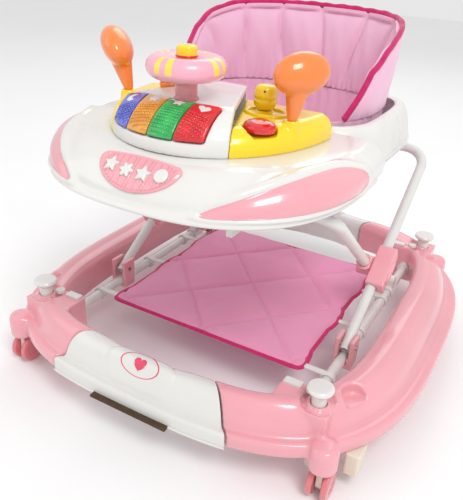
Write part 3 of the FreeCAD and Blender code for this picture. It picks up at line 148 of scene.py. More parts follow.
class Paint:
    """One material: a Principled shader and the nodes that feed it."""

    def __init__(self, name, **sockets):
        self.material = bpy.data.materials.new(name)
        self.material.use_nodes = True
        self.tree = self.material.node_tree
        self.shader = self.tree.nodes["Principled BSDF"]
        for socket, value in sockets.items():
            self.shader.inputs[socket.replace("_", " ")].default_value = value

    def feed(self, socket, value):
        if isinstance(value, Tone):
            self.tree.links.new(value.socket, socket)
        elif isinstance(value, tuple) and len(value) == 3 and socket.type == "RGBA":
            socket.default_value = (*value, 1.0)
        else:
            socket.default_value = value

    def node(self, kind, output=0, settings=None, **inputs):
        """Any node: settings are its properties and inputs its sockets, by name."""
        made = self.tree.nodes.new(kind)
        for key, value in (settings or {}).items():
            setattr(made, key, value)
        for key, value in inputs.items():
            self.feed(made.inputs[key.replace("_", " ")], value)
        return Tone(self, made.outputs[output])

    def place(self):
        """Object coordinates, which are the walker's own, in metres."""
        return self.node("ShaderNodeTexCoord", "Object")

    def axes(self, vector=None):
        """The three numbers of a position."""
        split = self.tree.nodes.new("ShaderNodeSeparateXYZ")
        self.feed(split.inputs[0], vector or self.place())
        return [Tone(self, out) for out in split.outputs]

    def noise(self, scale, detail=2.0, rough=0.5, vector=None):
        return self.node("ShaderNodeTexNoise", "Fac", Vector=vector or self.place(), Scale=scale,
                         Detail=detail, Roughness=rough)

    def mix(self, first, second, share):
        made = self.tree.nodes.new("ShaderNodeMix")
        made.data_type = "RGBA"
        self.feed(made.inputs["Factor"], share)
        self.feed(made.inputs[6], first)
        self.feed(made.inputs[7], second)
        return Tone(self, made.outputs[2])

    def bump(self, height, distance, strength=1.0, after=None):
        made = self.tree.nodes.new("ShaderNodeBump")
        made.inputs["Strength"].default_value = strength
        made.inputs["Distance"].default_value = distance
        self.feed(made.inputs["Height"], height)
        if after:
            self.feed(made.inputs["Normal"], after)
        return Tone(self, made.outputs[0])

    def set(self, **sockets):
        for socket, value in sockets.items():
            self.feed(self.shader.inputs[socket.replace("_", " ")], value)
        return self.material

# ---------------------------------------------------------------- finishes
def moulded(name, colour, shade=0.82, roughness=0.22, coat=0.6, grain=0.00006):
    """Glossy moulded plastic: slow colour drift, faint orange peel and patchy gloss."""
    paint = Paint(name, Coat_Weight=coat, Coat_Roughness=0.06, IOR=1.49, Subsurface_Weight=0.06,
                  Subsurface_Scale=0.01)
    drift = paint.noise(7.0, 2.0)
    speck = paint.noise(260.0, 3.0, 0.6)
    deeper = tuple(c * shade for c in colour)
    tint = paint.mix(colour, deeper, (drift - 0.42) * 1.6)
    height = paint.noise(420.0, 2.0) * 0.5 + paint.noise(60.0, 1.0)
    return paint.set(Base_Color=tint, Roughness=(drift - 0.5) * 0.10 + (speck - 0.5) * 0.06 + roughness,
                     Normal=paint.bump(height, grain))


def satin_plastic(name, colour, roughness=0.42):
    """Plain unpolished plastic of clips and small fittings."""
    paint = Paint(name, IOR=1.47)
    drift = paint.noise(30.0, 3.0)
    tint = paint.mix(colour, tuple(c * 0.86 for c in colour), (drift - 0.4) * 1.5)
    return paint.set(Base_Color=tint, Roughness=(drift - 0.5) * 0.2 + roughness,
                     Normal=paint.bump(paint.noise(900.0, 2.0), 0.00005))


def tinted_key(name, colour):
    """Clear tinted plastic: random lighter patches are painted light passing through the clear plastic, and the darker
    ones are painted shade.
    """
    paint = Paint(name, Roughness=0.10, Coat_Weight=0.8, Coat_Roughness=0.03, IOR=1.55)
    patch = paint.noise(60.0, 1.0, 0.5)
    # painted light and shade: a lighter and a darker copy of the tint, mixed by random patches, stand for light passing
    # through the clear plastic
    painted_lit_tint = tuple(min(1.0, c * 1.7 + 0.03) for c in colour)
    tint = paint.mix(tuple(c * 0.85 for c in colour), painted_lit_tint, (patch - 0.42) * 1.5)
    return paint.set(Base_Color=tint, Normal=paint.bump(patch, 0.0002))


def powder_coat(name, colour):
    """White enamelled tube with faint scuffs."""
    paint = Paint(name, Coat_Weight=0.35, Coat_Roughness=0.12)
    scuff = paint.noise(34.0, 5.0, 0.65)
    tint = paint.mix(colour, tuple(c * 0.80 for c in colour), (scuff - 0.52) * 2.4)
    return paint.set(Base_Color=tint, Roughness=scuff * 0.22 + 0.22,
                     Normal=paint.bump(paint.noise(800.0), 0.00004))


def steel():
    """Bright rivets and axles with turning marks."""
    paint = Paint("bright_steel", Metallic=1.0)
    ring = paint.noise(700.0, 2.0)
    return paint.set(Base_Color=paint.mix((0.62, 0.61, 0.58), (0.42, 0.41, 0.40), ring),
                     Roughness=ring * 0.2 + 0.2)


def grip_rubber():
    """Dark brown grip rubber with a dusty bloom."""
    paint = Paint("grip_rubber", Specular_IOR_Level=0.3)
    dust = paint.noise(120.0, 4.0, 0.7)
    return paint.set(Base_Color=paint.mix(DARK_GRIP, tuple(c * 2.4 for c in DARK_GRIP), (dust - 0.4) * 1.8),
                     Roughness=dust * 0.2 + 0.65, Normal=paint.bump(dust, 0.0003))


def woven(name, colour, sheen=0.35, thread=0.00055, slub=0.0004):
    """Plain-woven cloth read from the piece's own UV, which is in metres across the cloth."""
    paint = Paint(name, Sheen_Weight=sheen, Sheen_Roughness=0.45, Specular_IOR_Level=0.25)
    cloth = paint.node("ShaderNodeUVMap", 0, {"uv_map": "cloth"})
    u, v, _ = paint.axes(cloth)
    turn = 2 * math.pi / thread
    warp = (u * turn).wave() * 0.5 + 0.5
    weft = (v * turn).wave() * 0.5 + 0.5
    weave = warp * weft + (1.0 - warp) * (1.0 - weft)
    pucker = paint.noise(70.0, 4.0, 0.6)
    fade = paint.noise(9.0, 3.0, 0.5)
    dark = tuple(c * 0.80 for c in colour)
    tint = paint.mix(colour, dark, (fade - 0.4) * 0.9 + (weave - 0.5) * 0.12)
    near = paint.bump(weave, thread * 0.35, 0.5)
    return paint.set(Base_Color=tint, Roughness=pucker * 0.12 + 0.74,
                     Normal=paint.bump(pucker, slub, 1.0, near))


def binding_tape():
    """Magenta woven binding tape, with ribs across it and painted shade in its folds."""
    paint = Paint("magenta_binding", Sheen_Weight=0.4, Sheen_Roughness=0.4, Specular_IOR_Level=0.3)
    cloth = paint.node("ShaderNodeUVMap", 0, {"uv_map": "cloth"})
    u = paint.axes(cloth)[0]
    rib = (u * (2 * math.pi / 0.0011)).wave() * 0.5 + 0.5
    fold = paint.noise(120.0, 3.0, 0.6)
    # painted shade: the tape darkens to about half where the fold noise is high, as shade in its folds; the same noise
    # also bumps the surface
    tint = paint.mix(MAGENTA, tuple(c * 0.55 for c in MAGENTA), (fold - 0.35) * 1.5)
    near = paint.bump(rib, 0.0002, 0.6)
    return paint.set(Base_Color=tint, Roughness=fold * 0.2 + 0.58,
                     Normal=paint.bump(fold, 0.0012, 1.0, near))


def soft_vinyl():
    """White padded vinyl with a fine leather grain."""
    paint = Paint("white_vinyl", Coat_Weight=0.15, Coat_Roughness=0.3, Specular_IOR_Level=0.45)
    cell = paint.node("ShaderNodeTexVoronoi", "Distance", Vector=paint.place(), Scale=520.0)
    fold = paint.noise(26.0, 4.0, 0.55)
    grime = paint.noise(11.0, 3.0, 0.6)
    tint = paint.mix(VINYL_WHITE, tuple(c * 0.84 for c in VINYL_WHITE), (grime - 0.42) * 1.6)
    near = paint.bump(cell, 0.00022, 0.5)
    return paint.set(Base_Color=tint, Roughness=grime * 0.16 + 0.30,
                     Normal=paint.bump(fold, 0.0016, 1.0, near))


def striped_wheel():
    """Pink wheel with pairs of yellow stripes across its rim."""
    low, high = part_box("steering_wheel")
    paint = Paint("striped_wheel_pink", Coat_Weight=0.5, Coat_Roughness=0.08, Subsurface_Weight=0.05,
                  Subsurface_Scale=0.01)
    x, y, z = paint.axes()
    turn = (y - (low.y + high.y) / 2).math("ARCTAN2", x)
    sector = (turn + 4 * math.pi + 0.42).fold(math.pi / 2)
    first = abs(sector - 0.22).below(0.085, 0.012)
    second = abs(sector - 0.56).below(0.085, 0.012)
    radius = (x * x + (y - (low.y + high.y) / 2) ** 2.0).root()
    rim = 1.0 - radius.below((high.x - low.x) * 0.30, 0.0008)
    top = 1.0 - z.below(low.z + (high.z - low.z) * 0.36, 0.002)
    stripes = first.most(second) * rim * top
    drift = paint.noise(12.0, 2.0)
    pink = paint.mix((0.88, 0.42, 0.52), (0.80, 0.30, 0.42), (drift - 0.4) * 1.6)
    return paint.set(Base_Color=paint.mix(pink, (0.95, 0.70, 0.08), stripes), Roughness=drift * 0.12 + 0.24,
                     Normal=paint.bump(paint.noise(300.0), 0.00005))


def printed_panel():
    """White panel plastic with a red oval line and a plain heart printed in it."""
    paint = Paint("printed_white_panel", Coat_Weight=0.6, Coat_Roughness=0.06, IOR=1.49,
                  Subsurface_Weight=0.06,
                  Subsurface_Scale=0.01)
    x, y, z = paint.axes()
    across = x / OVAL_HALF_W
    down = (y - OVAL_Y) * 0.75 + (z - OVAL_Z) * 0.66
    along = down / OVAL_HALF_L
    oval = ((across * across + along * along).root() - 1.0)
    line = abs(oval).below(0.035, 0.02)
    hx = x / HEART_SIZE
    hy = down / HEART_SIZE * 1.1 + 0.1
    core = hx * hx + hy * hy - 1.0
    heart = (core * core * core - hx * hx * hy * hy * hy).below(0.0, 0.05)
    front = y.below(0.0, 0.01)
    drift = paint.noise(7.0, 2.0)
    white = paint.mix(WHITE, tuple(c * 0.9 for c in WHITE), (drift - 0.42) * 1.6)
    print_red = line.most(heart) * front
    return paint.set(Base_Color=paint.mix(white, (0.75, 0.05, 0.13), print_red),
                     Roughness=drift * 0.1 + 0.2,
                     Normal=paint.bump(paint.noise(420.0, 2.0), 0.00006))


# ---------------------------------------------------------------- mesh making
def piece_from(name, verts, faces, material, uv=None):
    """A smooth-shaded mesh object at the origin."""
    mesh = bpy.data.meshes.new(name)
    mesh.from_pydata([tuple(v) for v in verts], [], [tuple(f) for f in faces])
    if uv is not None:
        layer = mesh.uv_layers.new(name="cloth")
        corner = np.empty(len(mesh.loops), int)
        mesh.loops.foreach_get("vertex_index", corner)
        layer.data.foreach_set("uv", np.asarray(uv, float)[corner].ravel())
    mesh.materials.append(material)
    made = bpy.data.objects.new(name, mesh)
    bpy.context.scene.collection.objects.link(made)
    shade(made)
    return made


def shade(made, angle=38.0):
    """Smooth shading that keeps edges sharper than the angle."""
    made.data.shade_smooth()
    made.data.set_sharp_from_angle(angle=math.radians(angle))


def outward(made):
    """Merge doubles and turn every face outwards."""
    work = bmesh.new()
    work.from_mesh(made.data)
    bmesh.ops.remove_doubles(work, verts=work.verts, dist=1e-6)
    bmesh.ops.recalc_face_normals(work, faces=work.faces)
    work.to_mesh(made.data)
    work.free()
    return made


def grid_faces(rows, columns, round_rows=False, round_columns=False, first=0):
    """Quads over a rows by columns lattice of vertices."""
    faces = []
    for r in range(rows if round_rows else rows - 1):
        for c in range(columns if round_columns else columns - 1):
            r2 = (r + 1) % rows
            c2 = (c + 1) % columns
            faces.append((first + r * columns + c, first + r * columns + c2,
                          first + r2 * columns + c2, first + r2 * columns + c))
    return faces


def finished(made, *modifiers):
    """Apply modifiers, given as (kind, {property: value}), and keep only the mesh."""
    for kind, settings in modifiers:
        modifier = made.modifiers.new(kind.lower(), kind)
        for key, value in settings.items():
            setattr(modifier, key, value)
    return applied(made)


def applied(made):
    """Replace a piece's mesh by what its modifiers make of it."""
    graph = bpy.context.evaluated_depsgraph_get()
    graph.update()
    mesh = bpy.data.meshes.new_from_object(made.evaluated_get(graph), preserve_all_data_layers=True,
                                           depsgraph=graph)
    made.modifiers.clear()
    old = made.data
    made.data = mesh
    bpy.data.meshes.remove(old)
    return made


def copy_of(node, name=None):
    """A merged copy of a CAD node's mesh as a new piece."""
    mesh = NODES[node].data.copy()
    mesh.name = name or node + "_skin"
    made = bpy.data.objects.new(mesh.name, mesh)
    bpy.context.scene.collection.objects.link(made)
    work = bmesh.new()
    work.from_mesh(mesh)
    bmesh.ops.remove_doubles(work, verts=work.verts, dist=0.00001)
    work.to_mesh(mesh)
    work.free()
    if "custom_normal" in mesh.attributes:
        mesh.attributes.remove(mesh.attributes["custom_normal"])
    return made


def points_of(made):
    """A mesh's points as rows of an array."""
    co = np.empty(len(made.data.vertices) * 3)
    made.data.vertices.foreach_get("co", co)
    return co.reshape(-1, 3)


def put_points(made, co):
    made.data.vertices.foreach_set("co", co.ravel())
    made.data.update()


def painted(made, material):
    made.data.materials.clear()
    made.data.materials.append(material)
    return made


def stands_for(made, node):
    """The piece replaces a CAD node and rides on its body."""
    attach(made, BODY_OF[node])
    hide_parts(node)
    return made


def soft_edged(node, material, voxel=1.6, rounds=4):
    """A CAD node's form with moulded, slightly rounded edges."""
    made = painted(copy_of(node), material)
    finished(made, ("REMESH", {"mode": "VOXEL", "voxel_size": voxel * MM}),
             ("SMOOTH", {"factor": 0.5, "iterations": rounds}))
    shade(made, 60.0)
    return stands_for(made, node)


def crisp(node, material, angle=30.0):
    """A CAD node kept as it is, but merged so that its curves shade smoothly."""
    made = painted(copy_of(node), material)
    shade(made, angle)
    return stands_for(made, node)


def smooth_curve(points, count, closed=False):
    """Points on a Catmull-Rom curve through control points."""
    points = np.asarray(points, float)
    total = len(points)
    spans = total if closed else total - 1
    out = []
    for i in range(count):
        t = i * spans / count if closed else i * spans / (count - 1)
        k = min(int(t), spans - 1)
        s = t - k
        if closed:
            p0, p1, p2, p3 = (points[(k + j) % total] for j in (-1, 0, 1, 2))
        else:
            p0, p1, p2, p3 = (points[min(max(k + j, 0), total - 1)] for j in (-1, 0, 1, 2))
        out.append(0.5 * (2 * p1 + (p2 - p0) * s + (2 * p0 - 5 * p1 + 4 * p2 - p3) * s ** 2
                          + (3 * p1 - p0 - 3 * p2 + p3) * s ** 3))
    return np.array(out)


def tube(name, path, across, material, flat=1.0, sides=12, closed=False, up=(0, 0, 1)):
    """A round or oval bar along a path of points, with cloth UV along and round it."""
    path = np.asarray(path, float)
    count = len(path)
    ahead = np.roll(path, -1, 0) - np.roll(path, 1, 0)
    if not closed:
        ahead[0] = path[1] - path[0]
        ahead[-1] = path[-1] - path[-2]
    ahead /= np.linalg.norm(ahead, axis=1)[:, None]
    side = np.cross(ahead, np.broadcast_to(np.asarray(up, float), path.shape))
    side /= np.linalg.norm(side, axis=1)[:, None] + 1e-12
    over = np.cross(side, ahead)
    length = np.concatenate([[0], np.cumsum(np.linalg.norm(np.diff(path, axis=0), axis=1))])
    verts = []
    uv = []
    for i in range(count):
        for j in range(sides):
            a = 2 * math.pi * j / sides
            verts.append(path[i] + side[i] * math.cos(a) * across / 2 * flat + over[i] * math.sin(a)
                         * across / 2)
            uv.append((length[i], across * math.pi * j / sides))
    faces = grid_faces(count, sides, round_rows=closed, round_columns=True)
    if not closed:
        faces += [tuple(range(sides)), tuple(reversed(range((count - 1) * sides, count * sides)))]
    return outward(piece_from(name, verts, faces, material, uv))


def joined(name, pieces):
    """Several pieces of one body as one mesh."""
    work = bmesh.new()
    materials = []
    for piece in pieces:
        first = len(work.faces)
        work.from_mesh(piece.data)
        work.faces.ensure_lookup_table()
        for material in piece.data.materials:
            if material not in materials:
                materials.append(material)
        index = [materials.index(m) for m in piece.data.materials]
        for face in work.faces[first:]:
            face.material_index = index[face.material_index]
    mesh = bpy.data.meshes.new(name)
    work.to_mesh(mesh)
    work.free()
    for material in materials:
        mesh.materials.append(material)
    made = bpy.data.objects.new(name, mesh)
    bpy.context.scene.collection.objects.link(made)
    for piece in pieces:
        bpy.data.objects.remove(piece)
    return made


def oval_radius(half_w, half_l, power, angle):
    """Distance from the centre to a superellipse."""
    return (abs(math.cos(angle) / half_w) ** power + abs(math.sin(angle) / half_l) ** power) ** (-1.0 / power)


# ---------------------------------------------------------------- base ring
BASE_HALF_W = SIDE_HIGH.x
OPEN_HALF_W = 245 * MM
OPEN_HALF_L = 291 * MM
BASE_POWER = 3.1
OPEN_POWER = 4.0
FOOT_Z = SIDE_LOW.z
SEAM_OUTER = math.radians(67.2)
SEAM_INNER = math.radians(72.3)
DOME_Z = 121 * MM
CASTER_Y = 292 * MM
OVAL_Y = -322 * MM
OVAL_Z = 116 * MM
OVAL_HALF_W = 30 * MM
OVAL_HALF_L = 15.5 * MM
HEART_SIZE = 8.5 * MM
DISC_HALF_W = 52 * MM
DISC_HALF_L = 24 * MM
NOTCH_HALF_W = 55 * MM
NOTCH_DEPTH = 7 * MM

# Across the ring from its outer foot over the dome to its inner foot: (share of the way in, height in mm).
RING_PROFILE = ((0.030, 60), (0.008, 61), (0.0, 63.5), (0.0, 74), (0.006, 77.6), (0.022, 80.2),
                (0.05, 81.3),
                (0.10, 81.6), (0.16, 81.4), (0.205, 81.6), (0.232, 83.2), (0.252, 86.5), (0.285, 93), (0.325, 100),
                (0.38, 107), (0.45, 113.2), (0.53, 118), (0.62, 120.7), (0.70, 121), (0.79, 120.0), (0.87, 118.0),
                (0.93, 115.4), (0.97, 112.0), (0.992, 107.5), (1.0, 102), (1.0, 64), (0.992, 61), (0.97, 60))


def ring_point(outer_angle, inner_angle, share, height, notch=0.0):
    """A point of the ring's moulding."""
    r_out = oval_radius(BASE_HALF_W, HALF_L, BASE_POWER, outer_angle)
    r_in = oval_radius(OPEN_HALF_W, OPEN_HALF_L, OPEN_POWER, inner_angle)
    outer = np.array([r_out * math.cos(outer_angle), r_out * math.sin(outer_angle), 0.0])
    inner = np.array([r_in * math.cos(inner_angle), r_in * math.sin(inner_angle), 0.0])
    inward = inner - outer
    width = np.linalg.norm(inward)
    point = outer + inward / width * share * (width - notch)
    point[2] = height
    return point


def ring_stretch(from_out, to_out, from_in, to_in, stations, drop, end_round, notched=False):
    """Rows of points along a length of the ring, with rounded ends."""
    rows = []
    steps = [0.0] * 4 + list(np.linspace(0.0, 1.0, stations)) + [1.0] * 4
    for i, t in enumerate(steps):
        edge = min(i, len(steps) - 1 - i)
        sink = end_round * (1 - math.sin(math.radians(22.5 * min(edge, 4))))
        ends = end_round * (1 - math.cos(math.radians(22.5 * min(edge, 4)))) / HALF_L
        shift = -ends if t > 0.5 else ends
        a_out = from_out + t * (to_out - from_out) + (end_round / HALF_L if t < 0.5
                                                      else -end_round / HALF_L) - shift
        a_in = from_in + t * (to_in - from_in) + (end_round / HALF_L if t < 0.5
                                                  else -end_round / HALF_L) - shift
        notch = 0.0
        if notched:
            x = abs(OPEN_HALF_L / math.tan(a_in)) if abs(math.cos(a_in)) > 0.001 else 0.0
            notch = NOTCH_DEPTH / (1 + (x / NOTCH_HALF_W) ** 8)
        row = []
        for share, height in RING_PROFILE:
            z = height * MM - drop
            middle = (FOOT_Z + DOME_Z) / 2
            z = z - sink * np.sign(z - middle) * min(1.0, abs(z - middle) / (12 * MM))
            row.append(ring_point(a_out, a_in, share, z, notch))
        row = np.array(row)
        centre = row.mean(0)
        out = row - centre
        row[:, :2] -= out[:, :2] / (np.linalg.norm(out[:, :2], axis=1)[:, None] + 1e-9) * sink
        rows.append(row)
    return np.array(rows)


def closed_loft(name, rows, material):
    """A solid from closed rows, capped at both ends."""
    count, sides, _ = rows.shape
    faces = grid_faces(count, sides, round_columns=True)
    faces += [tuple(range(sides)), tuple(reversed(range((count - 1) * sides, count * sides)))]
    return outward(piece_from(name, rows.reshape(-1, 3), faces, material))


def drum(radius, low, high, x, y, round_top=0.0, round_low=0.0, sides=40):
    """A closed drum with rounded rims, as a lathe mesh."""
    outline = [(0.0, low)]
    for k in range(4):
        a = math.radians(90 * k / 3)
        outline.append((radius - round_low + round_low * math.sin(a), low + round_low * (1 - math.cos(a))))
    for k in range(4):
        a = math.radians(90 * k / 3)
        outline.append((radius - round_top + round_top * math.cos(a),
                        high - round_top + round_top * math.sin(a)))
    outline.append((0.0, high))
    verts = []
    for r, z in outline:
        for j in range(sides):
            a = 2 * math.pi * j / sides
            verts.append((x + r * math.cos(a), y + r * math.sin(a), z))
    return outward(piece_from("drum", verts, grid_faces(len(outline), sides, round_columns=True), None))


def slab(x0, x1, y0, y1, z0, z1):
    """A plain box used as a building block."""
    verts = [(x, y, z) for x in (x0, x1) for y in (y0, y1) for z in (z0, z1)]
    faces = [(0, 1, 3, 2), (4, 6, 7, 5), (0, 4, 5, 1), (2, 3, 7, 6), (0, 2, 6, 4), (1, 5, 7, 3)]
    return outward(piece_from("slab", verts, faces, None))


def base_side(pink):
    """The right-hand moulding: ring, corner blocks, knob wells, pockets and caster housings, edges rounded."""
    knob_low, knob_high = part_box("stopper_front_right")
    knob_x = (knob_low.x + knob_high.x) / 2
    knob_y = -(knob_low.y + knob_high.y) / 2
    wheel_low, wheel_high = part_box("caster_fork_front_right")
    caster_x = (wheel_low.x + wheel_high.x) / 2
    rows = ring_stretch(-SEAM_OUTER, SEAM_OUTER, -SEAM_INNER, SEAM_INNER, 110, 0.0, 3 * MM)
    parts = [closed_loft("ring", rows, pink)]
    cuts = []
    for end in (-1, 1):
        y0, y1 = sorted((end * 236 * MM, end * 284 * MM))
        parts.append(slab(172 * MM, 250 * MM, y0, y1, FOOT_Z, 117 * MM))
        parts.append(drum(15 * MM, 70 * MM, 118 * MM, knob_x, end * knob_y, 2 * MM))
        parts.append(drum(19 * MM, wheel_high.z - 30 * MM, 88 * MM, caster_x, end * CASTER_Y, 9 * MM,
                          5 * MM))
        cuts.append(drum(10.6 * MM, 95 * MM, 140 * MM, knob_x, end * knob_y))
        cuts.append(drum(18 * MM, 104 * MM, 140 * MM, 264 * MM, end * 220 * MM, 0, 3 * MM))
    body = joined("base_side_right_moulding", parts)
    finished(body, ("REMESH", {"mode": "VOXEL", "voxel_size": 2.0 * MM}))
    cutter = joined("side_cutter", cuts)
    return body, cutter, knob_x, knob_y


def build_base(pink, white):
    """Both pink mouldings and both white end panels."""
    body, cutter, knob_x, knob_y = base_side(pink)
    finished(body, ("BOOLEAN", {"operation": "DIFFERENCE", "object": cutter, "solver": "MANIFOLD"}))
    bpy.data.objects.remove(cutter)
    sink_wells(body, knob_x, knob_y)
    finished(body, ("REMESH", {"mode": "VOXEL", "voxel_size": 2.1 * MM}),
             ("SMOOTH", {"factor": 0.5, "iterations": 5}))
    painted(body, pink)
    shade(body, 70.0)
    other = mirrored(body, "base_side_left_moulding")
    stands_for(body, "base_side_right")
    stands_for(other, "base_side_left")
    front = end_panel("front_panel_moulding", white)
    rear = mirrored(front, "rear_panel_moulding", axis=1)
    stands_for(front, "base_front_panel")
    stands_for(rear, "base_rear_panel")


def sink_wells(body, knob_x, knob_y):
    """Lower the shallow recess round each stopper's collar."""
    co = points_of(body)
    away = np.hypot(co[:, 0] - knob_x, np.abs(co[:, 1]) - knob_y)
    ring = (away > 15.2 * MM) & (away < 23 * MM) & (co[:, 2] > 112 * MM)
    co[ring, 2] = 113 * MM
    put_points(body, co)


def mirrored(source, name, axis=0):
    """The same mesh on the other side of the walker."""
    mesh = source.data.copy()
    mesh.name = name
    co = np.empty(len(mesh.vertices) * 3)
    mesh.vertices.foreach_get("co", co)
    co = co.reshape(-1, 3)
    co[:, axis] *= -1
    mesh.vertices.foreach_set("co", co.ravel())
    mesh.flip_normals()
    made = bpy.data.objects.new(name, mesh)
    bpy.context.scene.collection.objects.link(made)
    return made


def end_panel(name, white):
    """The white panel: outer lip, notch in its inner edge and a raised oval disc."""
    gap = 0.4 * MM / HALF_L
    quarter = math.pi / 2
    rows = ring_stretch(-quarter - (quarter - SEAM_OUTER) + gap, -quarter + (quarter - SEAM_OUTER) - gap,
                        -quarter - (quarter - SEAM_INNER) + gap, -quarter + (quarter - SEAM_INNER) - gap,
                        120, 1.5 * MM, 1 * MM, True)
    panel = closed_loft(name, subdivided_columns(rows, 3), white)
    co = points_of(panel)
    from_disc = np.hypot(co[:, 0] / DISC_HALF_W, (co[:, 1] - OVAL_Y) / DISC_HALF_L)
    top = co[:, 2] > 84 * MM
    step = 1 / (1 + np.exp((from_disc - 1.0) * 22.0))
    ring = np.exp(-((from_disc - 1.08) / 0.07) ** 2)
    co[:, 2] += np.where(top, 2.4 * MM * step - 1.0 * MM * ring, 0.0)
    put_points(panel, co)
    shade(panel, 50.0)
    return panel


def subdivided_columns(rows, times):
    """Closed rows with more points round each, on a smooth curve."""
    sides = rows.shape[1]
    out = []
    for row in rows:
        out.append(smooth_curve(row, sides * times, closed=True))
    return np.array(out)


# ---------------------------------------------------------------- tray
TRAY_CY = -120 * MM
TRAY_POWER = 2.6
TRAY_REAR = TRAY_HIGH.y
RIM_Z = TRAY_LOW.z
DECK_Z = TRAY_HIGH.z
# Height above the rim, half-width and half-length of the tray's outline, in mm.
TRAY_FORM = ((0.0, 205.5, 220.5), (0.6, 208.5, 223.5), (2.2, 210.5, 225.5), (4.5, 211.0, 226.0),
             (7.0, 210.6, 224.6),
             (9.5, 211.6, 223.4), (13.0, 213.6, 221.6), (20.0, 215.8, 217.2), (28.0, 216.6, 211.0),
             (36.0, 214.6, 203.4), (42.0, 210.6, 196.6), (47.0, 204.6, 189.0), (50.5, 197.6, 181.0),
             (53.0, 189.0, 171.0), (54.4, 178.0, 160.0), (55.0, 163.0, 146.0))
LAMP_ALONG = np.array([0.471, 0.882, 0.0])
LAMP_OUT = np.array([0.882, -0.471, 0.25]) / math.hypot(1.0, 0.25)
LAMP_MIDDLE = np.array([155, -243, 374]) * MM
LAMP_UPPER = ((-108, -10), (-60, 6), (0, 17), (60, 21), (102, 12), (114, -4))
LAMP_LOWER = ((100, -17), (60, -21), (0, -22), (-70, -18))
# How far out from its middle each inner ring of the deck lies.
DECK_SHARES = (0.93, 0.84, 0.72, 0.58, 0.42, 0.26, 0.12)


def lamp_outline(count=90):
    """The teardrop round a headlight, in metres along and up its own plane."""
    points = smooth_curve([(u, v, 0) for u, v in LAMP_UPPER + LAMP_LOWER], count, closed=True)
    return points[:, :2] * MM


def outline_distance(points, outline):
    """Distance from each point to a closed outline, negative inside."""
    a = outline
    b = np.roll(outline, -1, 0)
    best = np.full(len(points), 1e9)
    inside = np.zeros(len(points), bool)
    for p, q in zip(a, b):
        run = q - p
        t = np.clip(((points - p) @ run) / (run @ run), 0, 1)
        best = np.minimum(best, np.linalg.norm(points - p - t[:, None] * run, axis=1))
        crosses = (p[1] > points[:, 1]) != (q[1] > points[:, 1])
        x_at = p[0] + (points[:, 1] - p[1]) * run[0] / (run[1] if abs(run[1]) > 1e-12 else 1e-12)
        inside ^= crosses & (points[:, 0] < x_at)
    return np.where(inside, -best, best)


def lamp_plane(points):
    """Points seen along the headlight's own direction, both sides of the tray folded onto the right."""
    rel = points.copy()
    rel[:, 0] = np.abs(rel[:, 0])
    rel = rel - LAMP_MIDDLE
    flat_out = np.array([0.882, -0.471, 0.0])
    t = rel @ flat_out
    return np.stack([rel @ LAMP_ALONG, rel[:, 2] - 0.25 * t], 1)


def tray_rows(columns=190, rear_columns=26):
    """Closed rows up the tray's skin and in over its deck."""
    rows = []
    heights = smooth_curve(TRAY_FORM, 64)
    for h, half_w, half_l in heights:
        rows.append(tray_row(half_w * MM, half_l * MM, RIM_Z + h * MM, columns, rear_columns))
    last = rows[-1]
    centre = np.array([0, TRAY_REAR - 60 * MM, DECK_Z])
    for share in DECK_SHARES:
        rows.append(centre + (last - centre) * share)
    return rows


def tray_row(half_w, half_l, z, columns, rear_columns):
    """One closed outline of the tray: round the front, then straight across the back."""
    rear = TRAY_REAR - TRAY_CY
    start = math.atan2(rear, half_w * (1 - (rear / half_l) ** TRAY_POWER) ** (1 / TRAY_POWER))
    points = []
    for i in range(columns):
        a = start - i * (math.pi + 2 * start) / (columns - 1)
        r = oval_radius(half_w, half_l, TRAY_POWER, a)
        points.append((r * math.cos(a), TRAY_CY + r * math.sin(a), z))
    x_end = points[-1][0]
    for i in range(1, rear_columns + 1):
        points.append((x_end - 2 * x_end * i / (rear_columns + 1), TRAY_REAR, z))
    return np.array(points)


def tray_shell(white):
    """The tray: rolled lower lip, crease under the badge and raised rims round the headlights."""
    rows = np.array(tray_rows())
    count, sides, _ = rows.shape
    skin = rows[:, :190]
    flat = skin.reshape(-1, 3)
    normal = np.cross(np.gradient(skin, axis=1), np.gradient(skin, axis=0)).reshape(-1, 3)
    normal /= np.linalg.norm(normal, axis=1)[:, None] + 1e-12
    centre = np.array([0, TRAY_CY, RIM_Z])
    normal *= np.sign(((flat - centre) * normal).sum(1))[:, None]
    gap = outline_distance(lamp_plane(flat), lamp_outline())
    facing = (flat[:, 1] < 0) & (flat[:, 2] < DECK_Z - 2 * MM)
    rim = 3.6 * MM * np.exp(-((gap - 4.0 * MM) / (4.2 * MM)) ** 2)
    inside = np.where(gap < 0, -1.0 * MM, 0.0)
    groove = -1.6 * MM * np.exp(-((gap - 14 * MM) / (6 * MM)) ** 2)
    turn = np.arctan2(flat[:, 0], -(flat[:, 1] - TRAY_CY))
    crease_z = RIM_Z + (13.0 + 26 * (turn / 0.62) ** 4) * MM
    across = np.clip((0.60 - np.abs(turn)) / 0.12, 0, 1)
    crease = -2.6 * MM * np.exp(-((flat[:, 2] - crease_z) / (5.5 * MM)) ** 2) * across
    low_fade = np.clip((flat[:, 2] - RIM_Z - 6 * MM) / (5 * MM), 0, 1)
    lift = (rim + inside + groove * (1 - across)) * facing * low_fade + crease * low_fade
    rows[:, :190] = (flat + normal * lift[:, None]).reshape(count, 190, 3)
    verts = rows.reshape(-1, 3)
    faces = grid_faces(count, sides, round_columns=True)
    faces.append(tuple(range((count - 1) * sides, count * sides)))
    shell = outward(piece_from("tray_skin", verts, faces, white))
    finished(shell, ("SOLIDIFY", {"thickness": 2.6 * MM, "offset": -1.0}))
    shade(shell, 45.0)
    stands_for(shell, "tray_shell")
    return shell


def surface_of(*pieces):
    """A tree that answers where a ray meets these pieces."""
    verts = []
    faces = []
    for piece in pieces:
        first = len(verts)
        verts += [tuple(v.co) for v in piece.data.vertices]
        faces += [tuple(first + i for i in p.vertices) for p in piece.data.polygons]
    return BVHTree.FromPolygons(verts, faces)


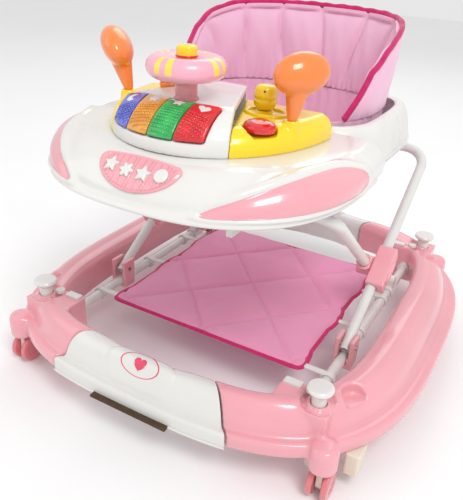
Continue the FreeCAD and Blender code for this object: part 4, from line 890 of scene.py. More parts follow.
def patch(name, tree, outline, origin, along, up, cast, height, material, rings=9, sink=0.0006):
    """A raised plaque whose outline is laid on a surface; height gives its thickness by share of the way out."""
    origin, along, up, cast = (Vector(v) for v in (origin, along, up, cast))
    cast = cast.normalized()
    middle = np.mean(outline, axis=0)
    verts = []
    shares = [0.0] + [math.sin(math.pi / 2 * (i + 1) / rings) for i in range(rings)]
    count = len(outline)
    for share in shares:
        for u, v in outline:
            u2 = middle[0] + (u - middle[0]) * share
            v2 = middle[1] + (v - middle[1]) * share
            verts.append(landed(tree, origin + along * u2 + up * v2, cast, height(share)))
    base = []
    for u, v in outline:
        base.append(landed(tree, origin + along * u + up * v, cast, -sink))
    verts += base
    faces = grid_faces(rings + 2, count, round_columns=True)
    made = piece_from(name, verts, faces, material)
    return outward(made)


def landed(tree, start, cast, lift):
    """Where a ray meets the surface, moved off it along its normal."""
    hit, normal, _, _ = tree.ray_cast(start - cast * 0.2, cast)
    if hit is None:
        hit, normal, _, _ = tree.find_nearest(start)
    if normal.dot(cast) > 0:
        normal = -normal
    return tuple(hit + normal * lift)


def headlights(shell_tree, pink):
    """Glossy pink teardrop inserts inside the raised rims."""
    outline = lamp_outline()
    right = patch("headlight_right_lens", shell_tree, outline, LAMP_MIDDLE, LAMP_ALONG, (0, 0, 1),
                  -LAMP_OUT,
                  lambda s: 0.5 * MM + 2.6 * MM * (1 - s ** 4), pink, rings=16)
    left = mirrored(right, "headlight_left_lens")
    stands_for(right, "headlight_right")
    stands_for(left, "headlight_left")


# ---------------------------------------------------------------- trees of geometry nodes
class Tree:
    """A geometry node tree with named inputs, ending in Realize Instances and Set Material."""

    def __init__(self, name, inputs):
        self.group = bpy.data.node_groups.new(name, "GeometryNodeTree")
        face = self.group.interface
        face.new_socket("Geometry", in_out="INPUT", socket_type="NodeSocketGeometry")
        for label, kind in inputs:
            face.new_socket(label, in_out="INPUT", socket_type="NodeSocket" + kind)
        face.new_socket("Geometry", in_out="OUTPUT", socket_type="NodeSocketGeometry")
        self.entry = self.group.nodes.new("NodeGroupInput")
        self.exit = self.group.nodes.new("NodeGroupOutput")

    def given(self, label):
        return self.entry.outputs[label]

    def add(self, kind, settings=None, **inputs):
        """A node, its properties, and its inputs by socket name or, as _2, by number."""
        node = self.group.nodes.new(kind)
        for key, value in (settings or {}).items():
            setattr(node, key, value)
        for key, value in inputs.items():
            socket = node.inputs[int(key[1:])] if key[0] == "_" else node.inputs[key.replace("_", " ")]
            if isinstance(value, bpy.types.NodeSocket):
                self.group.links.new(value, socket)
            else:
                socket.default_value = value
        return node

    def close(self, geometry):
        solid = self.add("GeometryNodeRealizeInstances", Geometry=geometry)
        dressed = self.add("GeometryNodeSetMaterial", Geometry=solid.outputs[0],
                           Material=self.given("Material"))
        self.group.links.new(dressed.outputs[0], self.exit.inputs[0])
        return self.group


def grown(name, group, base, **inputs):
    """A piece made by a tree from a base mesh, as a plain mesh."""
    made = bpy.data.objects.new(name, base)
    bpy.context.scene.collection.objects.link(made)
    modifier = made.modifiers.new("grow", "NODES")
    modifier.node_group = group
    sockets = {s.name: s.identifier for s in group.interface.items_tree if s.in_out == "INPUT"}
    for label, value in inputs.items():
        modifier[sockets[label.replace("_", " ")]] = value
    applied(made)
    made.data.name = name
    return made


def point_mesh(points, normals=None, ahead=None):
    """Loose points, with the way each one faces as attributes."""
    mesh = bpy.data.meshes.new("points")
    mesh.from_pydata([tuple(p) for p in points], [], [])
    for label, vectors in (("facing", normals), ("ahead", ahead)):
        if vectors is not None:
            attribute = mesh.attributes.new(label, "FLOAT_VECTOR", "POINT")
            attribute.data.foreach_set("vector", np.asarray(vectors, float).ravel())
    return mesh


def attribute_of(tree, label):
    return tree.add("GeometryNodeInputNamedAttribute", {"data_type": "FLOAT_VECTOR"}, Name=label).outputs[0]


def aimed_rotation(tree):
    """Z along each point's facing and X along its ahead."""
    first = tree.add("FunctionNodeAlignRotationToVector", {"axis": "Z"},
                     Vector=attribute_of(tree, "facing"))
    return tree.add("FunctionNodeAlignRotationToVector", {"axis": "X", "pivot_axis": "Z"},
                    Rotation=first.outputs[0], Vector=attribute_of(tree, "ahead")).outputs[0]


def bump_tree():
    """Small round bumps, pressed flat, one on each point."""
    tree = Tree("moulded_bumps", (("Radius", "Float"), ("Height", "Float"), ("Material", "Material")))
    ball = tree.add("GeometryNodeMeshIcoSphere", Radius=1.0, Subdivisions=2)
    size = tree.add("ShaderNodeCombineXYZ", X=tree.given("Radius"), Y=tree.given("Radius"),
                    Z=tree.given("Height"))
    spots = tree.add("GeometryNodeInstanceOnPoints", Points=tree.given("Geometry"),
                     Instance=ball.outputs[0],
                     Rotation=aimed_rotation(tree), Scale=size.outputs[0])
    smooth = tree.add("GeometryNodeSetShadeSmooth", Geometry=spots.outputs[0])
    return tree.close(smooth.outputs[0])


def stitch_tree():
    """Short rounded stitches, each lying along its seam."""
    tree = Tree("seam_stitches", (("Length", "Float"), ("Thread", "Float"), ("Material", "Material")))
    ball = tree.add("GeometryNodeMeshUVSphere", Segments=8, Rings=5, Radius=0.5)
    size = tree.add("ShaderNodeCombineXYZ", X=tree.given("Length"), Y=tree.given("Thread"),
                    Z=tree.given("Thread"))
    spots = tree.add("GeometryNodeInstanceOnPoints", Points=tree.given("Geometry"),
                     Instance=ball.outputs[0],
                     Rotation=aimed_rotation(tree), Scale=size.outputs[0])
    smooth = tree.add("GeometryNodeSetShadeSmooth", Geometry=spots.outputs[0])
    return tree.close(smooth.outputs[0])


def rib_tree():
    """A half-round rib along every line of the base mesh."""
    tree = Tree("grille_ribs", (("Width", "Float"), ("Material", "Material")))
    lines = tree.add("GeometryNodeMeshToCurve", Mesh=tree.given("Geometry"))
    profile = tree.add("GeometryNodeCurvePrimitiveCircle", Resolution=10)
    half = tree.add("ShaderNodeMath", {"operation": "DIVIDE"}, _0=tree.given("Width"), _1=2.0)
    self_size = tree.add("GeometryNodeTransform", Geometry=profile.outputs[0])
    scale = tree.add("ShaderNodeCombineXYZ", X=half.outputs[0], Y=half.outputs[0], Z=half.outputs[0])
    tree.group.links.new(scale.outputs[0], self_size.inputs["Scale"])
    bars = tree.add("GeometryNodeCurveToMesh", Curve=lines.outputs[0], Profile_Curve=self_size.outputs[0],
                    Fill_Caps=True)
    smooth = tree.add("GeometryNodeSetShadeSmooth", Geometry=bars.outputs[0])
    return tree.close(smooth.outputs[0])


def screw_tree():
    """Round screw heads with a cross slot, one on each point."""
    tree = Tree("cross_head_screws", (("Head", "Float"), ("Material", "Material")))
    head = tree.add("GeometryNodeMeshCylinder", Vertices=20, Side_Segments=1, Fill_Segments=2,
                    Radius=0.5, Depth=0.35)
    dome = tree.add("GeometryNodeMeshUVSphere", Segments=20, Rings=8, Radius=0.5)
    flat = tree.add("GeometryNodeTransform", Geometry=dome.outputs[0])
    flat.inputs["Scale"].default_value = (1.0, 1.0, 0.30)
    flat.inputs["Translation"].default_value = (0.0, 0.0, 0.15)
    both = tree.add("GeometryNodeJoinGeometry")
    tree.group.links.new(flat.outputs[0], both.inputs[0])
    tree.group.links.new(head.outputs[0], both.inputs[0])
    bars = []
    for size in ((0.62, 0.13, 0.3), (0.13, 0.62, 0.3)):
        bar = tree.add("GeometryNodeMeshCube")
        bar.inputs["Size"].default_value = size
        moved = tree.add("GeometryNodeTransform", Geometry=bar.outputs[0])
        moved.inputs["Translation"].default_value = (0.0, 0.0, 0.36)
        bars.append(moved.outputs[0])
    cut = tree.add("GeometryNodeMeshBoolean", {"operation": "DIFFERENCE"}, _0=both.outputs[0])
    for bar in bars:
        tree.group.links.new(bar, cut.inputs[1])
    size = tree.add("ShaderNodeCombineXYZ", X=tree.given("Head"), Y=tree.given("Head"),
                    Z=tree.given("Head"))
    spots = tree.add("GeometryNodeInstanceOnPoints", Points=tree.given("Geometry"), Instance=cut.outputs[0],
                     Rotation=aimed_rotation(tree), Scale=size.outputs[0])
    return tree.close(spots.outputs[0])


# ---------------------------------------------------------------- badge on the tray's front
BADGE_W = 112 * MM
BADGE_H = 46 * MM
BADGE_MIDDLE = np.array([0, -313, 379]) * MM
BADGE_UP = np.array([0, math.cos(math.radians(45)), math.sin(math.radians(45))])
BADGE_OUT = np.array([0, -math.sin(math.radians(45)), math.cos(math.radians(45))])
RIB_COUNT = 21


def half_moon(width, height, count=40):
    """Half moon: nearly straight top, round bottom, rounded corners."""
    lower = []
    for i in range(count + 1):
        a = math.pi + math.pi * i / count
        lower.append((width / 2 * math.cos(a), height * 0.30 + height * 0.84 * math.sin(a), 0))
    upper = [(width * 0.47, height * 0.36, 0), (width * 0.40, height * 0.41, 0),
             (width * 0.2, height * 0.45, 0),
             (0, height * 0.46, 0), (-width * 0.2, height * 0.45, 0), (-width * 0.40, height * 0.41, 0),
             (-width * 0.47, height * 0.36, 0)]
    return smooth_curve(lower[1:-1] + upper, 120, closed=True)[:, :2]


def star_outline(radius, points=5, waist=0.56):
    corners = []
    for i in range(points * 2):
        r = radius if i % 2 == 0 else radius * waist
        a = math.pi / 2 + math.pi * i / points
        corners.append((r * math.cos(a), r * math.sin(a), 0))
    rounded = []
    for i, here in enumerate(corners):
        after = corners[(i + 1) % len(corners)]
        rounded += [here, tuple((np.array(here) + after) / 2)]
    return smooth_curve(rounded, 60, closed=True)[:, :2]


def disc_outline(radius, stretch=1.0):
    return np.array([(radius * math.cos(a) * stretch, radius * math.sin(a))
                     for a in np.linspace(0, 2 * math.pi, 41)[:-1]])


def heart_outline(radius):
    points = []
    for a in np.linspace(0, 2 * math.pi, 61)[:-1]:
        points.append((radius * math.sin(a) ** 3, radius * (13 * math.cos(a) - 5 * math.cos(2 * a)
                       - 2 * math.cos(3 * a) - math.cos(4 * a)) / 16))
    return np.array(points)


def flower_outline(radius, petals=6):
    points = []
    for a in np.linspace(0, 2 * math.pi, 73)[:-1]:
        r = radius * (0.80 + 0.20 * math.cos(petals * a))
        points.append((r * math.cos(a), r * math.sin(a)))
    return np.array(points)


def moon_outline(radius):
    points = [(radius * math.cos(a), radius * math.sin(a), 0)
              for a in np.linspace(0.9, 2 * math.pi - 0.9, 16)]
    points += [(radius * (0.48 + 0.62 * math.cos(a)) - radius * 0.05, radius * 0.66 * math.sin(a), 0)
               for a in np.linspace(2 * math.pi - 1.6, 1.6, 10)]
    return smooth_curve(points, 60, closed=True)[:, :2]


def badge(shell_tree, pink, white):
    """The pink half-moon with its rim and ribs, and four plain raised shapes."""
    outline = half_moon(BADGE_W, BADGE_H)

    def plate(share):
        edge = (share - 0.93) / 0.045
        return (1.5 + 2.1 * math.exp(-edge * edge)) * MM if share < 0.985 else 1.9 * MM

    rim = patch("badge_plate", shell_tree, outline, BADGE_MIDDLE, (1, 0, 0), BADGE_UP, -BADGE_OUT,
                plate, pink, rings=26)
    plate_tree = surface_of(rim)
    inner = half_moon(BADGE_W * 0.88, BADGE_H * 0.86)
    lines = bpy.data.meshes.new("rib_lines")
    verts = []
    edges = []
    for i in range(RIB_COUNT):
        x = (i - (RIB_COUNT - 1) / 2) * BADGE_W * 0.84 / RIB_COUNT
        near = inner[np.abs(inner[:, 0] - x) < BADGE_W * 0.02][:, 1]
        low, high = near.min(), near.max()
        for k in range(9):
            v = low + (high - low) * k / 8
            start = Vector(BADGE_MIDDLE + np.array([x, 0, 0]) + BADGE_UP * v)
            verts.append(landed(plate_tree, start, Vector(-BADGE_OUT), 0.25 * MM))
            if k:
                edges.append((len(verts) - 2, len(verts) - 1))
    lines.from_pydata(verts, edges, [])
    ribs = grown("badge_ribs", rib_tree(), lines, Width=1.7 * MM, Material=pink)
    whole = joined("badge_moulding", [rim, ribs])
    stands_for(whole, "front_grille")
    shapes = []
    outlines = (star_outline(10.5 * MM), flower_outline(9.5 * MM), star_outline(10.5 * MM),
                disc_outline(8.6 * MM))
    for i, shape in enumerate(outlines):
        x = (i - 1.5) * 23 * MM
        v = (-1.0 if i in (1, 2) else 2.0) * MM
        place = BADGE_MIDDLE + np.array([x, 0, 0]) + BADGE_UP * v
        shapes.append(patch("badge_shape", plate_tree, shape, place, (1, 0, 0), BADGE_UP, -BADGE_OUT,
                            lambda s: (2.2 + 1.6 * (1 - s ** 6)) * MM, white, rings=8))
    emblems = joined("badge_shapes", shapes)
    stands_for(emblems, "grille_emblems")


# ---------------------------------------------------------------- toy console
def console(white, yellow, pink):
    """Console mouldings with rounded edges and raised details."""
    soft_edged("console_centre", white, 1.5, 5)
    wings = [soft_edged("console_wing_" + side, yellow, 1.5, 5)
             for side in ("right", "left")]
    soft_edged("steering_column", pink, 0.9, 4)
    for side, sign in (("right", 1), ("left", -1)):
        low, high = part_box("twist_knob_" + side)
        x = (low.x + high.x) / 2
        y = (low.y + high.y) / 2
        track = []
        for i in range(72):
            a = 2 * math.pi * i / 72
            track.append((x + sign * 4 * MM + 27 * MM * math.cos(a), y - 3 * MM + 20 * MM * math.sin(a), 0))
        tree = surface_of(wings[0 if sign > 0 else 1])
        laid = [landed(tree, Vector((p[0], p[1], 0.44)), Vector((0, 0, -1)), 0.6 * MM) for p in track]
        ring = tube("twist_track_" + side, laid, 5.0 * MM, yellow, flat=1.5, closed=True)
        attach(ring, "platform")
    return wings


def key_face(tree, low, high, share_low, share_high, columns, rows):
    """Points laid on a key's upper face, and the way the face looks at each."""
    points = []
    facing = []
    for r in range(rows):
        for c in range(columns):
            x = low.x + (high.x - low.x) * (0.12 + 0.76 * c / (columns - 1))
            t = share_low + (share_high - share_low) * r / (rows - 1)
            y = low.y + (high.y - low.y) * t
            hit, normal, _, _ = tree.ray_cast(Vector((x, y, high.z + 0.05)), Vector((0, 0, -1)))
            if hit is None or hit.z < low.z + 4 * MM:
                continue
            points.append(hit)
            facing.append(normal if normal.z > 0 else -normal)
    return points, facing


def piano_keys(finishes, white):
    """Four clear keys with rows of bumps low down and a plain white picture above."""
    bumps = bump_tree()
    pictures = {"blue": moon_outline(7.5 * MM), "amber": flower_outline(8.0 * MM),
                "green": star_outline(8.5 * MM),
                "red": heart_outline(8.0 * MM)}
    for colour, finish in finishes.items():
        node = "key_" + colour
        body = painted(copy_of(node), finish)
        finished(body, ("REMESH", {"mode": "VOXEL", "voxel_size": 0.8 * MM}),
                 ("SMOOTH", {"factor": 0.5, "iterations": 3}))
        shade(body, 60.0)
        tree = surface_of(body)
        low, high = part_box(node)
        points, facing = key_face(tree, low, high, 0.06, 0.56, 8, 9)
        base = point_mesh(points, facing, [(1, 0, 0)] * len(points))
        dots = grown("dots", bumps, base, Radius=1.9 * MM, Height=1.5 * MM, Material=finish)
        whole = joined(node + "_clear", [body, dots])
        stands_for(whole, node)
        middle = Vector(((low.x + high.x) / 2, low.y + (high.y - low.y) * 0.76, high.z + 0.02))
        picture = patch("picture_" + colour, tree, pictures[colour], middle, (1, 0, 0), (0, 0.8, 0),
                        (0, 0, -1),
                        lambda s: 0.25 * MM, white, rings=3, sink=0.0003)
        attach(picture, node)


def console_toys(finishes, wing):
    """Wheel, horn, dome, rattles and turning knobs."""
    crisp("steering_wheel", striped_wheel(), 40.0)
    horn(finishes["yellow"], finishes["red"])
    red_dome(finishes["red"], wing)
    for side in ("right", "left"):
        rattle = painted(copy_of("rattle_" + side), finishes["orange"])
        finished(rattle, ("REMESH", {"mode": "VOXEL", "voxel_size": 1.4 * MM}),
                 ("SMOOTH", {"factor": 0.6, "iterations": 16}))
        lean_over(rattle, -0.12 if side == "right" else -0.24)
        shade(rattle, 80.0)
        stands_for(rattle, "rattle_" + side)
    twist_knob("right", finishes["yellow"], finishes["dark"])
    twist_knob("left", finishes["orange"], finishes["dark"])


def lean_over(rattle, share):
    """A rattle pressed a little lower in its seat and turned over to one side."""
    co = points_of(rattle)
    up = np.maximum(co[:, 2] - co[:, 2].min() - 16 * MM, 0)
    co[:, 0] += up * share * 0.88
    co[:, 1] += up * share * 0.475
    co[:, 2] -= up * 0.13
    put_points(rattle, co)


def red_dome(red, wing):
    """Low clear dome with long facets, square to the wing it sits in."""
    low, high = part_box("red_button")
    middle = (low + high) / 2
    half = (high.x - low.x) / 2
    tree = surface_of(wing)
    around = []
    for k in range(12):
        a = 2 * math.pi * k / 12
        spot = Vector((middle.x + half * 1.2 * math.cos(a), middle.y + half * 1.2 * math.sin(a),
                       high.z + 0.05))
        around.append(Vector(landed(tree, spot, Vector((0, 0, -1)), 0)))
    seat = sum(around, Vector()) / len(around)
    axis = sum(((around[k] - seat).cross(around[(k + 1) % 12] - seat) for k in range(12)),
               Vector()).normalized()
    first = axis.orthogonal().normalized()
    second = axis.cross(first)
    verts = []
    sides = 28
    outline = [(0.98, -0.5), (1.0, 0.05), (0.96, 0.25), (0.82, 0.55), (0.58, 0.82), (0.30, 0.96),
               (0.001, 1.0)]
    for k, (r, t) in enumerate(outline):
        for j in range(sides):
            a = 2 * math.pi * (j + 0.5 * (k % 2)) / sides
            verts.append(seat + (first * math.cos(a) + second * math.sin(a)) * r * half + axis * t * 7.5
                         * MM)
    faces = grid_faces(len(outline), sides, round_columns=True) + [tuple(reversed(range(sides)))]
    dome = outward(piece_from("dome_lens", verts, faces, red))
    dome.data.shade_flat()
    stands_for(dome, "red_button")


def horn(yellow, red):
    """Square-shouldered push button with grooves down its sides."""
    low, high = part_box("horn_button")
    x = (low.x + high.x) / 2
    y = (low.y + high.y) / 2
    half = (high.x - low.x) / 2
    verts = []
    levels = ((0.0, 0.92), (0.12, 0.98), (0.62, 0.98), (0.80, 0.96), (0.90, 0.90), (0.96, 0.80),
              (0.99, 0.66), (1.0, 0.4))
    sides = 96
    for t, size in levels:
        for j in range(sides):
            a = 2 * math.pi * j / sides
            r = oval_radius(half, half, 3.2, a) if t > 0.35 else half
            rib = 1 - 0.035 * max(0.0, math.cos(a * 12)) ** 4 * (0.35 < t < 0.9)
            verts.append((x + min(r, half * 1.04) * size * rib * math.cos(a),
                          y + min(r, half * 1.04) * size * rib * math.sin(a), low.z + (high.z - low.z) * t))
    faces = grid_faces(len(levels), sides, round_columns=True)
    faces += [tuple(reversed(range(sides))), tuple(range((len(levels) - 1) * sides, len(levels) * sides))]
    cap = outward(piece_from("horn_cap", verts, faces, yellow))
    finished(cap, ("SUBSURF", {"levels": 1, "render_levels": 1}))
    shade(cap, 50.0)
    ring = drum(half + 0.9 * MM, high.z - 14 * MM, high.z - 11.4 * MM, x, y, 0.6 * MM, 0.6 * MM)
    painted(ring, red)
    whole = joined("horn_push", [cap, ring])
    stands_for(whole, "horn_button")


def twist_knob(side, finish, dark):
    """Rounded turning knob: a waist groove and a small dark dot on its face."""
    node = "twist_knob_" + side
    low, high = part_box(node)
    x = (low.x + high.x) / 2
    y = (low.y + high.y) / 2
    half = (high.x - low.x) / 2
    height = high.z - low.z
    outline = smooth_curve([(0.001, 0, 0), (0.32, 0, 0), (0.34, 0.16, 0), (0.62, 0.18, 0),
                            (0.80, 0.24, 0), (0.96, 0.36, 0),
                            (1.0, 0.46, 0), (0.95, 0.52, 0), (0.90, 0.545,
                                                              0), (0.95, 0.57, 0), (0.99, 0.66, 0),
                            (0.97, 0.78, 0), (0.88, 0.89, 0), (0.70, 0.965,
                                                               0), (0.4, 0.995, 0), (0.001, 1.0, 0)], 60)
    verts = []
    sides = 48
    for r, t, _ in outline:
        squash = 1.0 - 0.12 * max(0.0, t - 0.5)
        for j in range(sides):
            a = 2 * math.pi * j / sides
            verts.append((x + r * half * math.cos(a), y + r * half * squash * math.sin(a),
                          low.z + height * t))
    body = outward(piece_from("knob", verts, grid_faces(len(outline), sides, round_columns=True), finish))
    tree = surface_of(body)
    look = Vector((0.35, -1.0, 0.25)).normalized()
    start = Vector((x, y, low.z + height * 0.74)) + look * 0.05
    across = Vector((1, 0.35, 0)).normalized()
    dot = patch("dot", tree, disc_outline(1.3 * MM), start, across, (0, 0, 1), -look,
                lambda s: 0.2 * MM, dark, rings=3)
    whole = joined(node + "_turned", [body, dot])
    stands_for(whole, node)


# ---------------------------------------------------------------- quilted floor mat
MAT_HALF_W = 169 * MM
MAT_HALF_L = 174 * MM
MAT_MIDDLE = 83 * MM
QUILT_PITCH = 150 * MM
CLIP_YS = (-161 * MM, -25 * MM, 90 * MM)


def quilt_depth(x, y):
    """Distance from the nearest diagonal seam of the quilting."""
    a = (x + y * 0.92) / QUILT_PITCH
    b = (x - y * 0.92) / QUILT_PITCH
    near = min(abs(a - round(a)), abs(b - round(b)))
    return near * QUILT_PITCH * 0.735


def floor_mat(cloth, binding):
    """Padded floor mat: diagonal quilting, wrinkles and a scalloped edge bound in magenta."""
    rng = np.random.default_rng(4)
    waves = [(rng.uniform(-1, 1), rng.uniform(-1, 1), rng.uniform(0, 6.28), rng.uniform(55, 140))
             for _ in range(14)]
    count = 132
    verts = []
    uv = []
    for side in (1, -1):
        for i in range(count):
            for j in range(count):
                s = -1 + 2 * i / (count - 1)
                t = -1 + 2 * j / (count - 1)
                held = min(abs(t * MAT_HALF_L - clip) for clip in CLIP_YS)
                edge_x = MAT_HALF_W + 1 * MM - 5.0 * MM * min(1.0, held / (34 * MM)) ** 2
                edge_y = MAT_HALF_L - 2 * MM
                corner = (abs(s) ** 40 + abs(t) ** 40) ** (1 / 40) if max(abs(s), abs(t)) > 0 else 1
                shrink = max(abs(s), abs(t)) / corner if corner else 1
                x = s * edge_x * shrink
                y = t * edge_y * shrink
                rim = 1 - max(abs(s), abs(t))
                seam = quilt_depth(x, y)
                puff = 1 - math.exp(-seam / (16 * MM))
                wrinkle = sum(math.sin((x * a + y * b) * k + p) for a, b, p, k in waves) / len(waves)
                fine = sum(math.sin((x * b - y * a) * k * 2.3 + p * 3) for a, b, p, k in waves) / len(waves)
                pull = math.exp(-seam / (14 * MM)) * math.sin((x - y * 0.4) * 420) * 0.25
                full = min(1.0, rim / 0.05) ** 0.5
                groove = 1.6 * math.exp(-(seam / (3.2 * MM)) ** 2)
                height = (1.8 + 5.2 * puff - groove + 2.2 * wrinkle + 0.8 * fine + pull) * full
                z = MAT_MIDDLE + side * (0.8 + (height if side > 0 else height * 0.42)) * MM
                verts.append((x, y, z))
                uv.append((x, y))
    faces = grid_faces(count, count)
    under = [tuple(reversed([v + count * count for v in f])) for f in faces]
    border = [i * count for i in range(count)] + [(count - 1) * count + j for j in range(1, count)]
    border += [i * count + count - 1 for i in reversed(range(count - 1))] + list(reversed(range(1, count - 1)))
    skirt = [(a, b, b + count * count, a + count * count) for a, b in zip(border, border[1:] + border[:1])]
    mat = outward(piece_from("quilted_mat", verts, faces + under + skirt, cloth, uv))
    shade(mat, 80.0)
    rim_path = [tuple(np.array(verts[i]) - (0, 0, 0.8 * MM)) for i in border]
    piping = tube("mat_piping", rim_path, 4.6 * MM, binding, flat=2.0, closed=True)
    thread = mat_stitches(surface_of(mat), cloth)
    stands_for(mat, "footrest_mat")
    for extra in (piping, thread):
        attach(extra, "base")


def mat_stitches(tree, cloth):
    """Rows of stitches along the quilting seams."""
    points = []
    facing = []
    ahead = []
    for sign in (1, -1):
        for k in range(-5, 6):
            steps = int(2 * MAT_HALF_L / (5.2 * MM))
            for i in range(steps):
                y = -MAT_HALF_L + 8 * MM + i * 5.2 * MM
                x = k * QUILT_PITCH - sign * y * 0.92
                if abs(x) > MAT_HALF_W - 9 * MM or abs(y) > MAT_HALF_L - 9 * MM:
                    continue
                hit, normal, _, _ = tree.ray_cast(Vector((x, y, MAT_MIDDLE + 0.03)), Vector((0, 0, -1)))
                if hit is None:
                    continue
                points.append(hit + normal * 0.2 * MM)
                facing.append(normal)
                ahead.append((-sign * 0.92, 1, 0))
    base = point_mesh(points, facing, ahead)
    return grown("mat_stitches", stitch_tree(), base, Length=3.6 * MM, Thread=1.2 * MM, Material=cloth)


# ---------------------------------------------------------------- seat
SEAT_CY = 66 * MM
BACK_PATH = ((-12, 403), (4, 440), (16, 467), (50, 492), (95, 514), (150, 526), (208, 531))
PLEATS = 7
LEG_HOLE_R = 41 * MM
LEG_HOLE_AT = (62 * MM, 56 * MM, 284 * MM)
LEG_HOLE_WAY = (0.35, -1.0, -0.25)
BOWL_TOP = 401 * MM
WAIST_Z = 403 * MM


def back_rim(y):
    """Height of the seat back's top edge at a distance back."""
    return float(np.interp(y, *zip(*BACK_PATH)))


def seat_oval(turn, z):
    """The inner wall of the seat at a height: centre line point."""
    t = np.clip((z / MM - 402) / 130.0, 0, 1)
    half_w = (153 + 12 * t) * MM
    half_l = (123 + 17 * t) * MM
    r = oval_radius(half_w, half_l, 2.5, turn)
    return np.array([r * math.cos(turn), SEAT_CY + r * math.sin(turn), z])


def seat_wall(cloth, binding):
    """Padded high back: pleats that fan up from the waist, gathers and a bound top edge."""
    rng = np.random.default_rng(11)
    turns = []
    columns = 260
    start = -0.55
    end = math.pi + 0.55
    verts = []
    uv = []
    rows = 44
    rim = []
    for i in range(columns):
        a = start + (end - start) * i / (columns - 1)
        foot = seat_oval(a, 404 * MM)
        top_z = back_rim(foot[1] / MM) * MM
        head = seat_oval(a, top_z)
        top_z = back_rim(head[1] / MM) * MM
        turns.append((a, top_z))
    phase = rng.uniform(0, 6.28, 6)
    for side in (1, -1):
        for i, (a, top_z) in enumerate(turns):
            for j in range(rows):
                t = j / (rows - 1)
                z = WAIST_Z + (top_z - WAIST_Z) * t
                p = seat_oval(a, z)
                out = np.array([math.cos(a), math.sin(a), 0.0])
                fan = (a - math.pi / 2) * (1 - 0.10 * t) * PLEATS / math.pi + 0.12 * math.sin(3 * t + 4 * a + phase[0])
                between = abs(fan - math.floor(fan) - 0.5) * 2
                sharp = math.exp(-((1 - between) / 0.16) ** 2)
                swell = math.cos(between * math.pi / 2) ** 0.5
                small = (math.sin(17 * a + 5 * t + phase[2]) + math.sin(29 * a - 8 * t + phase[3])) * 0.5
                gather = math.sin(70 * a + 3 * math.sin(5 * a) + phase[4]) * math.exp(-t / 0.13)
                puff = math.sin(math.pi * min(1, t * 1.05 + 0.02)) ** 0.5 if t < 0.95 else 0.45
                tall = min(1.0, (top_z - WAIST_Z) / (60 * MM))
                inner = (3.0 * puff + (13.0 * swell - 5.0 * sharp + 1.6 * small) * puff * (0.45 + 0.55 * t)
                         + 1.6 * gather) * tall + 1.5
                outer = (4.0 * puff + 0.8 * small + 0.9 * gather) * tall + 1.5
                thick = inner if side < 0 else outer
                q = p + out * side * thick * MM
                verts.append(q)
                uv.append((a * 0.15, t * 0.13))
                if side > 0 and j == rows - 1:
                    rim.append(p + np.array([0, 0, 1.5 * MM]))
    faces = grid_faces(columns, rows)
    half = columns * rows
    back = [tuple(reversed([v + half for v in f])) for f in faces]
    caps = []
    for i in range(columns - 1):
        low = i * rows
        high = i * rows + rows - 1
        caps.append((low, low + rows, low + rows + half, low + half))
        caps.append((high, high + half, high + rows + half, high + rows))
    for i in (0, columns - 1):
        for j in range(rows - 1):
            k = i * rows + j
            caps.append((k, k + 1, k + 1 + half, k + half))
    wall = outward(piece_from("padded_seat_back", verts, faces + back + caps, cloth, uv))
    shade(wall, 80.0)
    rim = np.array(rim)
    wobble = np.array([[0, 0, 0.9 * MM * math.sin(i * 0.55) + 0.6 * MM * math.sin(i * 0.23 + 1)]
                       for i in range(len(rim))])
    tape = tube("seat_back_binding", rim + wobble * 0.6, 9.5 * MM, binding, flat=0.85, sides=14)
    stands_for(wall, "seat_back")
    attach(tape, "platform")
    return wall


